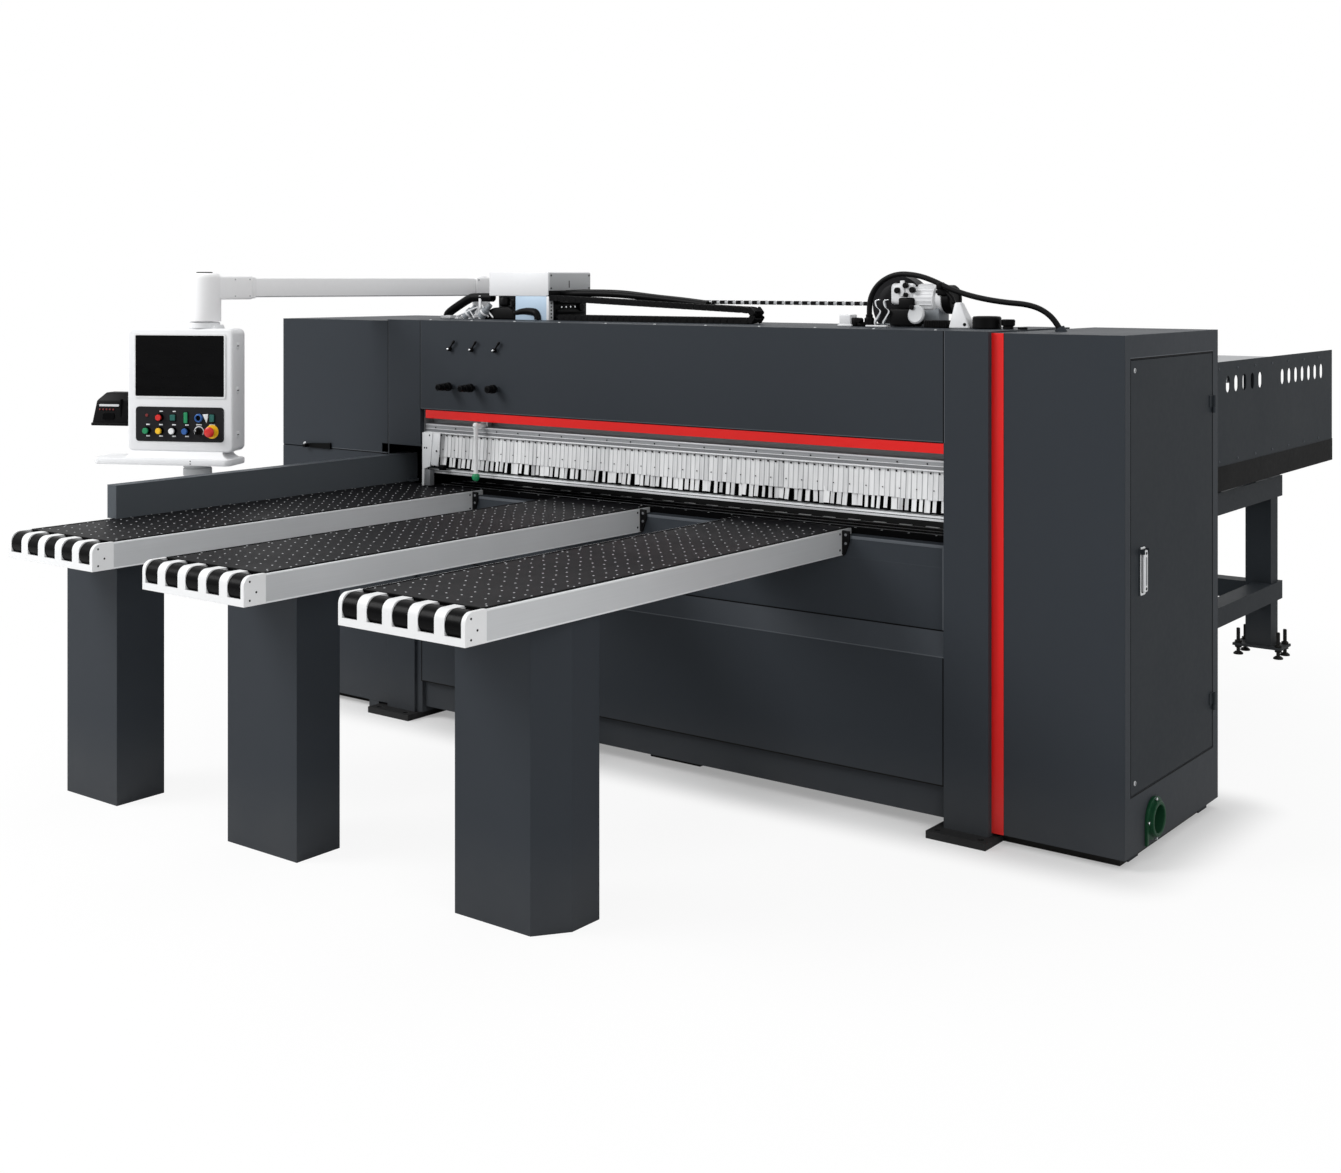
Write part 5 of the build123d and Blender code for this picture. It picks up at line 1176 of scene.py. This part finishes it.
# Right cabinet: pull plate and grip, corner locks, green outlet
pullPlate = {
    "tones": "brightAlu blackPlastic", "body": "door", "slot": "steel",
    "slabs": (
        (0, "x", (-66.5, -26.5, 851, 1005), 7, ((1864.5, 0), (1868, 0), (1869.6, 1.6))),
        (1, "x", (-63.5, -29.5, 859, 999), 5, ((1869, 0), (1869.9, 0), (1870, 0.2))),
    ),
}
makePiece("pullPlate", pullPlate)
doorGrip = {
    "tones": "brightAlu blackPlastic dullAlu", "body": "door_handle", "slot": "chrome_metal", "hides": "door_handle",
    "turned": ((1, 20, "x", (5, 2.4, 0.8), (1879, -46.5, 872), (1879, -46.5, 986)),),
    "slabs": (
        (0, "x", (-60.5, -32.5, 862, 996), 6, softRows(1870.2, 1880, 3)),
        (2, "x", (-51.5, -41.5, 882, 974), 4, ((1879.4, 0), (1880.3, 0), (1880.5, 0.3))),
    ),
}
makePiece("doorGrip", doorGrip)
doorLocks = {
    "tones": "zincSteel blackPlastic", "body": "door", "slot": "steel",
    "boxes": (
        (1, 1867.4, -109.4, 1567.4, 1868.6, -106.6, 1576.6, 0.4),
        (1, 1867.4, -109.4, 257.4, 1868.6, -106.6, 266.6, 0.4),
    ),
    "turned": (
        (0, 24, "x", ((0, -0.5), (8, -0.5), (8, 1.6), (6.6, 3), (0, 3)), (1865, -108, 1572), (1865, -108, 262)),
    ),
}
makePiece("doorLocks", doorLocks)
outletArch = arc(45, 115, 70, 0, 180, 18) + [(-25, 41), (-12, 41), (-10, 95)] + arc(45, 115, 49, 180, 0, 18)
airOutlet = {  # arched flange, lip, duct with an inner flap
    "tones": "greenPaint zincSteel darkRedPlastic", "slot": "green_plastic", "hides": "air_outlet",
    "boxes": ((1, 1805, 43, 71, 1813, 47, 159, 1),),
    "turned": (
        (0, 48, "x", ((45, -160), (50, -160), (50, -8), (69, -8), (69, 4), (58, 6), (57, 22), (54, 24), (47, 24),
         (45, 21)), (1865, 45, 115)),
        (0, 40, "x", ((0, -166), (63, -166), (63, -160), (0, -160)), (1865, 45, 115)),
        (2, 16, "x", (7, 12, 2), (1809, 45, 115)),
    ),
    "prisms": (
        (0, "x", 1865.5, 1875, 1, ((115, 117), (115, 73), (102, 73), (99, 95), (99, 117))),
        (0, "x", 1865.5, 1875, 1, outletArch),
    ),
}
makePiece("airOutlet", airOutlet)
wheelPiece("outletBolts", hexHead(11, 7), "chromeMetal", centre=(1874, 45, 115), count=4,
           turn=(90, 0, 90), radius=63)
print("door parts and outlet made")

# Table tops: black trims, air nozzles, rail edges, screws and the brackets that tie the rails to the lower panel
tables = {
    "centres": (-1202.0, -317.0, 586.0), "fronts": (-1985.0, -2070.0, -2070.0), "half": 246.0, "back": -127.0,
    "top": 985.0, "cap": 82.0, "rail": 15.0, "columns": 9, "across": 49.0, "along": 57.0,
    "nozzleR": 3.3, "panel": -182.0, "jitter": (4.0, 5.0, 0.0), "first": 44.0, "spare": 60.0,
    "edgeStep": 90.0, "edgeFirst": 30.0, "edgeSpare": 40.0, "edgeInset": 14.0,
    "capScrews": ((22, 968), (22, 912), (46, 934)), "railScrews": (970, 914), "tieScrews": (968, 938),
    "tie": ((0, 983), (30, 981), (30, 944), (12, 897), (0, 897)),  # bracket between rail and panel, from the rail out
    "strips": (  # tone, inner and outer side from the rail, ahead of the plate, low and high z, edge
        (0, -21, -12, 2, 982, 986.6, 1), (1, -5, 0.6, 0, 978, 984, 2), (1, -3, 0.5, 0, 895, 900, 1.5),
    ),
}


def nozzle(r):
    return turnedPart(10, ((0, -0.4), (r, -0.4), (r, 0.5), (r * 0.6, 1.2), (0, 1.3)))


def makeTable(spec, i, x, front):
    name = "table%d" % (i + 1)
    r, top, back, panel, across = spec["half"], spec["top"], spec["back"], spec["panel"], spec["across"]
    inner, head = r - spec["rail"], front + spec["cap"]
    span = back - head
    rowPiece(name + "Nozzles", nozzle(spec["nozzleR"]), "nozzleGrey",
             (x - across * (spec["columns"] - 1) / 2, head + spec["first"], top), (across, 0, 0), spec["columns"],
             rowStep=(0, spec["along"], 0), rows=int((span - spec["spare"]) / spec["along"]),
             jitter=spec["jitter"], seed=i + 1)
    boxes = [(0, x - inner, head - 5, top - 3, x + inner, head + 4, top + 1.4, 1)]
    turned, prisms = [], []
    for side, word in ((-1, "L"), (1, "R")):
        rowPiece(name + "Edge" + word, nozzle(spec["nozzleR"]), "nozzleGrey",
                 (x + side * (inner - spec["edgeInset"]), head + spec["edgeFirst"], top), (0, spec["edgeStep"], 0),
                 int((span - spec["edgeSpare"]) / spec["edgeStep"]) + 1)
        for tone, a, b, ahead, low, high, edge in spec["strips"]:
            a, b = sorted((x + side * (r + a), x + side * (r + b)))
            boxes.append((tone, a, head - ahead, low, b, back, high, edge))
        along, e = "x" if side > 0 else "-x", x + side * (r - 0.8)
        turned.append((0, 12, along, (3.4, 2.0, 0.6), *[(e, front + y, z) for y, z in spec["capScrews"]]))
        turned.append((0, 12, along, (4.2, 2.4, 0.8), *grid((e,), (panel - 22,), spec["railScrews"])))
        if i > 0 or side > 0:
            e = x + side * (r - 1)
            prisms.append((0, "y", panel - 9, panel - 1, 1, [(e + side * out, z) for out, z in spec["tie"]]))
            turned.append((1, 10, "-y", (5, 3, 0.8), *grid((e + side * 17,), (panel - 9,), spec["tieScrews"])))
    makePiece(name + "Edges", {"boxes": boxes}, tones="seamBlack brightAlu", slot="alu")
    makePiece(name + "Screws", {"turned": turned, "prisms": prisms}, tones="blackPlastic dullAlu", slot="black_plastic")


for i, (x, front) in enumerate(zip(tables["centres"], tables["fronts"])):
    makeTable(tables, i, x, front)
print("tables dressed")

# Dark joints between the panels, each with a thin pale line along its edge as a painted highlight
panelJoints = {
    "tones": "seamBlack edgePaint", "slot": "black_paint",
    "boxes": (
        (0, 1239, -210.7, 1313, 1243, -209, 1689), (1, 1243, -210.42, 1313, 1245.6, -209, 1689),
        (0, -1243, -210.7, 1313, -1239, -209, 1689), (1, -1239, -210.42, 1313, -1236.4, -209, 1689),
        (0, -1439, -210.7, 1000, -1435, -209, 1689), (1, -1435, -210.42, 1000, -1432.4, -209, 1689),
        (0, -1239, -210.7, 1311.6, 1239, -209, 1315.6), (1, -1239, -210.42, 1315.6, 1239, -209, 1318.2),
        (0, -1806, -205.7, 1110, -1445, -204, 1114), (1, -1806, -205.42, 1114, -1445, -204, 1116.6),
        (0, 1864, -145, 223, 1865.7, -141, 1609), (0, 1864, 595, 223, 1865.7, 599, 1609),
        (0, 1864, -143, 221, 1865.7, 597, 225), (0, 1864, -143, 1607, 1865.7, 597, 1611),
        (1, 1864, -147.6, 223, 1865.42, -145, 1611), (1, 1864, -143, 1611, 1865.42, 597, 1613.6),
    ),
}
makePiece("panelJoints", panelJoints)
cabinetLatch = {  # chrome button at the end of its grip slot
    "tones": "chromeMetal seamBlack", "slot": "chrome_metal",
    "boxes": ((1, -1967, -232.5, 1110, -1950, -206, 1124, 1.2),),
    "turned": ((0, 20, "-y", ((0, -2), (11, -2), (11, 2), (9, 4.4), (0, 5)), (-1981, -206, 1122)),),
    "prisms": (
        (1, "y", -214.6, -204, 0, ((-1972, 1126), (-1972, 1116), (-1930, 1109), (-1805, 1109), (-1805, 1136),
         (-1860, 1132), (-1930, 1129))),
    ),
}
makePiece("cabinetLatch", cabinetLatch)
panelLedge = {  # folded ledge of the lower panel: the slope in a lighter copy of the dark paint as painted light, a black line along the top of the fold as painted shade, pale lines as painted highlights
    "tones": "edgePaint seamBlack ledgePaint", "slot": "dark_paint",
    "boxes": (
        (1, -1239, -183.4, 675, 1239, -181, 680), (0, -1239, -207.4, 592, 1239, -205, 596),
        (0, -951, -183.2, 954.5, -568, -181, 965.5, 0.6), (0, -66, -183.2, 954.5, 335, -181, 965.5, 0.6),
        (0, 837, -183.2, 954.5, 1239, -181, 965.5, 0.6), (0, 1222, -183, 676, 1227, -181, 954.5),
        (1, -1239, -206.9, 161, 1239, -205, 165), (1, -1239, -182.8, 676, -1235, -181, 890),
        (1, -1239, -206.8, 164, -1235, -205, 594), (1, 1235, -182.8, 676, 1239, -181, 964),
        (1, 1235, -206.8, 164, 1239, -205, 594),
    ),
    "prisms": ((2, "x", -1239, 1239, 0, ((-180, 677), (-183, 677), (-207, 595), (-204, 595))),),
}
makePiece("panelLedge", panelLedge)

# Bed: slide strips with pale inserts and small screws along the front edge
bedStrips = {
    "tones": "dullAlu", "slot": "steel",
    "boxes": (
        (0, -1230, -95, 984, 1230, -89, 985.7, 0.3), (0, -1230, -37, 984, 1230, -31, 985.7, 0.3),
        (0, -1230, 31, 984, 1230, 37, 985.7, 0.3),
    ),
}
makePiece("bedStrips", bedStrips)
rowPiece("bedInserts", boxPart(-26, -5, -1, 26, 5, 0.7, 0.3), "brightAlu", start=(-1190, 52, 985),
         step=(107, 0, 0), count=23)
rowPiece("bedScrews", screwHead(4.0, 1.0), "zincSteel", start=(-1190, -117, 985), step=(107, 0, 0), count=23)
fenceEdges = {  # pale lines along the top folds of the side fence, painted highlights
    "tones": "edgePaint", "slot": "dark_paint",
    "boxes": (
        (0, -1473.4, -1574, 1104, -1468.6, -55, 1107.6, 0.5), (0, -1422.4, -1574, 1104, -1417.6, -55, 1107.6, 0.5),
        (0, -1473, -1575.6, 1104, -1418, -1572, 1107.6, 0.5),
    ),
}
makePiece("fenceEdges", fenceEdges)
plinths = {  # black boxes set back under the two cabinets, a painted shadow below their bottom edges
    "tones": "blackPaint", "slot": "black_paint",
    "boxes": (
        (0, -2090, -140, 0.5, -1500, -136, 37, 0.6), (0, -2090, 566, 0.5, -1500, 570, 37, 0.6),
        (0, -2090, -136, 0.5, -2086, 566, 37, 0.6), (0, -1504, -136, 0.5, -1500, 566, 37, 0.6),
        (0, 1409, -140, 0.5, 1830, -136, 37, 0.6), (0, 1409, 604, 0.5, 1830, 608, 37, 0.6),
        (0, 1409, -136, 0.5, 1413, 604, 37, 0.6), (0, 1826, -136, 0.5, 1830, 604, 37, 0.6),
    ),
}
makePiece("plinths", plinths)
postPlugs = {  # close the two posts standing out beside their tables
    "tones": "blackPlastic", "slot": "black_plastic",
    "boxes": (
        (0, -1530, -1695, 872, -1238, -1507, 892, 1), (0, -1523, -1688, 890, -1245, -1514, 894, 1.5),
        (0, -613, -1695, 872, -277, -1525, 892, 1), (0, -606, -1688, 890, -284, -1532, 894, 1.5),
    ),
}
makePiece("postPlugs", postPlugs)
print("joints drawn")

# Saw blades: steel discs with carbide teeth, clamped between flanges
blades = {  # centre, radius, hub, teeth, bite
    "main_blade": ((-1640.0, 0.0, 775.0), 200.0, 33.0, 60, 9.0),
    "scoring_blade": ((-1970.0, 0.0, 889.0), 90.0, 24.0, 28, 7.0),
}
bladeHalf, toothHalf = 1.6, 2.2


def makeBlade(name, centre, r, hub, teeth, bite):
    t, root = bladeHalf, r - bite
    flange = ((0, t - 0.4), (hub, t - 0.4), (hub, 3.0), (hub - 2, 4.4), (12, 4.4), (12, 6), (0, 6))
    disc = {"turned": ((0, 96, "y", ((0, -t), (root, -t), (root, t), (0, t)), flat),
                       (1, 40, "-y", flange, flat), (1, 40, "y", flange, flat))}
    piece = name.replace("_b", "B")
    makePiece(piece, disc, move(centre), tones="millSteel zincSteel", body=name, slot="steel", hides=name)
    tooth = {"prisms": (
        (0, "z", -t, t, 0, ((root - 3, -5), (r - 2.4, 1.0), (r, 3.4), (root - 3, 4.6))),
        (0, "z", -toothHalf, toothHalf, 0, ((r - 6.5, 1.6), (r - 0.6, 2.2), (r, 4.8), (r - 6.5, 4.6))))}
    wheelPiece(piece + "Teeth", shapes(tooth), "brightAlu", centre, teeth, (90, 0, 0), body=name)


for key, values in blades.items():
    makeBlade(key, *values)
print("blades toothed")

# Levelling feet of the rear frame: cup, threaded stud, two nuts
feet = {
    "legs": ((-1190, 720), (1190, 720), (-1190, 3192), (1190, 3192)), "acrossX": 196.0, "acrossY": 104.0,
    "turned": (
        (0, 12, "z", ((0, 0), (24, 0), (24, 6), (14, 14), (0, 14)), flat),
        (0, 8, "z", ((0, 13), (9.4, 13), (9.4, 127), (7, 130), (0, 130)), flat),
        (0, 6, "z", ((0, 0), (16, 0), (17.5, 2), (17.5, 10), (16, 12), (0, 12)), (0, 0, 33), (0, 0, 57)),
    ),
}
for i, (x, y) in enumerate(feet["legs"], 1):
    rowPiece("levellingFeet%d" % i, shapes(feet), "blackPaint",
             (x - feet["acrossX"] / 2, y - feet["acrossY"] / 2, 0), (feet["acrossX"], 0, 0), 2,
             rowStep=(0, feet["acrossY"], 0), rows=2, hides="levelling_feet")
print("feet set")

# Rear table and pusher: carrying wheels, gripper cylinders with their mounts, air line
rearWheel = ((0, 0), (7, 0), (7, 3), (18, 3), (20, 5), (20, 15), (18, 17), (8, 17), (6, 19), (0, 19))
rowPiece("rearWheels", shapes({"turned": ((0, 12, "x", rearWheel, flat),)}), "blackPlastic",
         start=(-1020.4, 400, 965), step=(0, 232, 0), count=14, rowStep=(350, 0, 0), rows=7)
gripper = {
    "arms": range(-875, 876, 350),
    "boxes": ((0, -38, 2640, 1196, -13.5, 2684, 1210, 2), (0, -38, 2640, 1326, -13.5, 2684, 1340, 2)),
    "turned": (
        (1, 24, "z", ((0, 0), (17, 0), (19, 3), (19, 16), (17, 18), (17, 142), (19, 144), (19, 157), (17, 160),
                      (0, 160)), (-35, 2662, 1190)),
        (2, 16, "z", (6, 70, 1.5), (-35, 2662, 1126)), (0, 16, "z", (11, 22, 2), (-35, 2662, 1112)),
        (0, 6, "x", (8, 5, 1.2), (13.5, 2680, 1404), (13.5, 2680, 1446)),
        (0, 6, "-x", (8, 5, 1.2), (-13.5, 2680, 1404), (-13.5, 2680, 1446)),
    ),
    "tubes": ((1, 4, 8, 5, ((-35, 2678, 1338), (-35, 2696, 1352), (-35, 2706, 1400), (-35, 2704, 1464),
                            (-35, 2724, 1478))),),
}
airLine = {
    "tones": "zincSteel blackPlastic chromeMetal", "body": "pusher", "slot": "black_plastic",
    "boxes": [(1, x - 8, 2722, 1471, x + 8, 2754, 1488, 4) for x in range(-900, 901, 300)],
    "tubes": ((1, 7, 10, 5, [(-960, 2736, 1479)] + [(x, 2734 + x // 200 % 2 * 6, 1479) for x in range(-800, 801, 200)]
               + [(960, 2736, 1479)]),),
}
bm = bmesh.new()
for x in gripper["arms"]:
    shapes(gripper, move((x, 0, 0)), bm)
makePiece("gripperCylinders", airLine, bm=bm)
print("rear table fitted")

# Rivets on the guards, screws on the beam top, louvres and panels on the cabinets' far sides
for side, name in ((1, "Right"), (-1, "Left")):
    rowPiece("guardRivets" + name, screwHead(6.0, 3.2, 8), "edgePaint", start=(side * 1315, 760, 1046),
             step=(0, 245, 0), count=13, rowStep=(0, 0, 414), rows=2, turn=(0, 90 * side, 0))
rowPiece("beamScrews", screwHead(5.0, 3.0, 8), "zincSteel", start=(-1200, -190, 1690), step=(240, 0, 0),
         count=11)
louvres = {
    "places": ((-1786.0, 630.0, 1180.0), (1636.0, 650.0, 1180.0)), "slats": 13, "slatStep": 20.0,
    "slat": (0, "x", -130, 130, 0, ((-3, -9), (0.5, -9), (9, 4), (9, 6), (0.5, 6), (-3, 4))),
    # a black sheet behind the slats is painted shade in the openings
    "boxes": ((0, -146, -0.5, -24, 146, 3, 264, 1), (1, -131, 2.5, -14, 131, 3.4, 254)),
    "turned": ((2, 10, "y", (4, 2.4, 0.8), *grid((-138, 138), (2.4,), (-16, 256))),),
}
sidePanel = {
    "tones": "darkPaint seamBlack zincSteel", "slot": "dark_paint",
    "boxes": ((1, -2131.7, -150, 150, -2130, -146, 1060), (1, -2131.7, 571, 150, -2130, 575, 1060),
              (1, -2131.7, -150, 150, -2130, 575, 154), (1, -2131.7, -150, 1056, -2130, 575, 1060)),
    "turned": ((2, 12, "-x", (6, 3, 1), *grid((-2130.5,), (-126, 212.5, 551), (174, 1036))),),
}


def makeCasing():
    bm = bmesh.new()
    for i, at in enumerate(louvres["places"], 1):
        shapes(louvres, move(at), bm)
        x, y, z = at
        rowPiece("louvreSlats%d" % i, shapes({"prisms": (louvres["slat"],)}), "darkPaint", (x, y + 3, z),
                 (0, 0, louvres["slatStep"]), louvres["slats"])
    makePiece("casingDetails", sidePanel, bm=bm)


makeCasing()
print("casing finished")

# Switchgear behind the cabinet door: drives, breakers, contactors, supply, terminals, wire ducts
devices = (  # count, first y, pitch, low z, depth, width, height, tone; then what is on the face, from its low corner
    (3, -55, 195, 1166, 160, 150, 320, 5, {
        "boxes": [(1, -1, 22, 200, 4, 128, 280, 3), (3, 3, 34, 244, 5, 116, 270, 1),
                  *[(1, -1, 16, z, 1.2, 134, z + 6) for z in range(20, 149, 16)]],
        "turned": ((0, 12, "x", (7, 3, 1), (3, 45, 222), (3, 75, 222), (3, 105, 222)),)}),
    (7, -55, 80, 986, 85, 60, 100, 2, {
        "boxes": ((0, -1, 8, 30, 12, 52, 70, 3), (1, 11, 18, 44, 22, 42, 58, 2.5), (2, -1, 12, 76, 0.8, 48, 88))}),
    (5, -55, 112, 766, 100, 90, 140, 0, {
        "boxes": ((1, -1, 14, 36, 10, 76, 104, 3), (2, 9, 31, 62, 12, 59, 78, 1))}),
    (1, -55, 0, 346, 120, 290, 260, 4, {
        "boxes": [(3, -1, 24, 22, 6, 230, 60, 2), *[(1, -1, y, 90, 1.2, y + 10, 236) for y in range(24, 256, 21)]]}),
    (1, 285, 0, 346, 50, 235, 260, 0, {
        "boxes": [(0 if k % 4 else 3, -1, 6 + k * 15, 40, 8, 18 + k * 15, 220, 1.5) for k in range(15)]}),
)
switchPlate = {
    "tones": "paleGrey blackPlastic tagWhite greenPlastic zincSteel gearPaint", "slot": "switchgear",
    "hides": "electrical_plate", "front": 1437.0,
    "boxes": [(4, 1434, -95, 286, 1437, 560, 1546, 0.8),
              *[(4, 1409, y, z, 1434.5, y + 40, z + 40, 2) for y in (-75, 500) for z in (306, 1486)]],
}
wireDucts = {
    "tones": "gearPaint cableRubber bluePlastic greenPlastic", "slot": "switchgear",
    "ducts": ((1104, 1150), (922, 968), (650, 696)), "slots": 37, "slotStep": 16,
    "tubes": [(1 + k % 3, 3, 8, 4, [(1437 + out, 300 + k * 38 + dy, z) for out, dy, z in (
        (30, 0, 590), (40, 4, 616), (34, -4, 640), (26, 0, 660))]) for k in range(6)],  # wires up to the lowest duct
}


def makeSwitchgear(x):
    bm = bmesh.new()
    for count, first, pitch, low, depth, wide, tall, tone, face in devices:
        screws = (4, 10, "x", (4, 2, 0.6), *grid((-0.6,), (wide * 0.2, wide * 0.5, wide * 0.8), (12, tall - 12)))
        for y in [first + k * pitch for k in range(count)]:
            addBox(bm, None, tone, x - 0.5, y, low, x + depth, y + wide, low + tall, 4)
            place = move((x + depth, y, low))
            shapes(face, place, bm)
            addTurned(bm, place, *screws)
    makePiece("switchgearPanel", switchPlate, bm=bm)
    bm = bmesh.new()
    for i, (low, high) in enumerate(wireDucts["ducts"], 1):
        rowPiece("ductSlots%d" % i, boxPart(-0.5, -4.5, -20, 1.2, 4.5, 20), "blackPlastic",
                 (x + 50, -55, (low + high) / 2), (0, wireDucts["slotStep"], 0), wireDucts["slots"])
        addBox(bm, None, 0, x - 0.5, -71, low, x + 50, 536, high, 2)
    makePiece("wireDucts", wireDucts, bm=bm)


makeSwitchgear(switchPlate["front"])
print("switchgear fitted")


# Studio: pale floor, even sky and three soft lamps
studio = {
    "sky": 0.50, "floorGlow": 0.90, "near": 1.7, "far": 4.6, "floorHalf": 40,
    # the last two: reach and glow of the painted shade around the machine's footprint
    "middle": (-0.13, 0.22, 0.0), "halves": (2.0, 0.43, 1.0), "shadeReach": 0.26, "shadeGlow": 0.35,
    "lamps": (  # name, place, aim, size, power
        ("keyLamp", (-5.5, -6.5, 6.5), (0.0, -0.6, 0.6), 5.0, 640.0),
        ("fillLamp", (6.5, -3.5, 4.0), (0.8, 0.2, 0.8), 4.0, 95.0),
        ("topLamp", (0.0, 1.5, 7.0), (0.0, 0.6, 0.8), 6.0, 120.0),
    ),
}


def bareTree(owner):  # an empty node tree, and the sockets that tell what kind of ray arrives
    owner.use_nodes = True
    owner.node_tree.nodes.clear()
    path = owner.node_tree.nodes.new("ShaderNodeLightPath")
    return Wire(owner.node_tree), lambda key: Wire(owner.node_tree, path.outputs[key])


def upFrom(share, low):  # low where the share is 0, up to 1
    return share * (1.0 - low) + low


def makeStudio(spec):
    world = bpy.context.scene.world = bpy.data.worlds.new("paleSky")
    wire, ray = bareTree(world)
    seen = ray("Is Camera Ray")
    for key in ("Is Glossy Ray", "Is Transmission Ray"):
        seen = wire.maths("MAXIMUM", seen, ray(key))
    light = wire.node("ShaderNodeBackground", {}, {"Color": (1, 1, 1, 1), "Strength": upFrom(seen, spec["sky"])})
    wire.node("ShaderNodeOutputWorld", {}, {"Surface": light})
    for name, place, aim, size, power in spec["lamps"]:
        lamp = bpy.data.lights.new(name, "AREA")
        lamp.shape, lamp.size, lamp.energy = "DISK", size, power
        lampObject = newObject(name, lamp)
        lampObject.location = place
        lampObject.rotation_euler = (Vector(aim) - Vector(place)).to_track_quat("-Z", "Y").to_euler()
    mesh = bpy.data.meshes.new("studioFloor")
    h = spec["floorHalf"]
    mesh.from_pydata([(-h, -h, 0), (h, -h, 0), (h, h, 0), (-h, h, 0)], [], [(0, 1, 2, 3)])
    finish = bpy.data.materials.new("floorWhite")
    wire, ray = bareTree(finish)
    matt = wire.node("ShaderNodeBsdfDiffuse", {}, {"Color": (0.92, 0.92, 0.92, 1)})
    glow = wire.node("ShaderNodeEmission", {}, {"Color": (1, 1, 1, 1), "Strength": 1.0})
    place = beside = wire.node("ShaderNodeTexCoord", out="Object")
    away = wire.vectors("LENGTH", place, out="Value").step(spec["near"], spec["far"])
    for operation, other in (("SUBTRACT", spec["middle"]), ("ABSOLUTE", flat), ("SUBTRACT", spec["halves"]),
                             ("MAXIMUM", flat)):  # how far the floor is from the machine's footprint
        beside = wire.vectors(operation, beside, other)
    # near the machine's footprint the floor's glow is lowered, a painted shade around the footprint that also lets the
    # real shadow show
    clear = wire.vectors("LENGTH", beside, out="Value").step(0.0, spec["shadeReach"])
    share = ray("Is Camera Ray") * upFrom(away, spec["floorGlow"]) * upFrom(clear, spec["shadeGlow"])
    floorMix = wire.node("ShaderNodeMixShader", {}, {0: share, 1: matt, 2: glow})
    wire.node("ShaderNodeOutputMaterial", {}, {"Surface": floorMix})
    mesh.materials.append(finish)
    newObject("studioFloor", mesh)


makeStudio(studio)
print("studio lit")
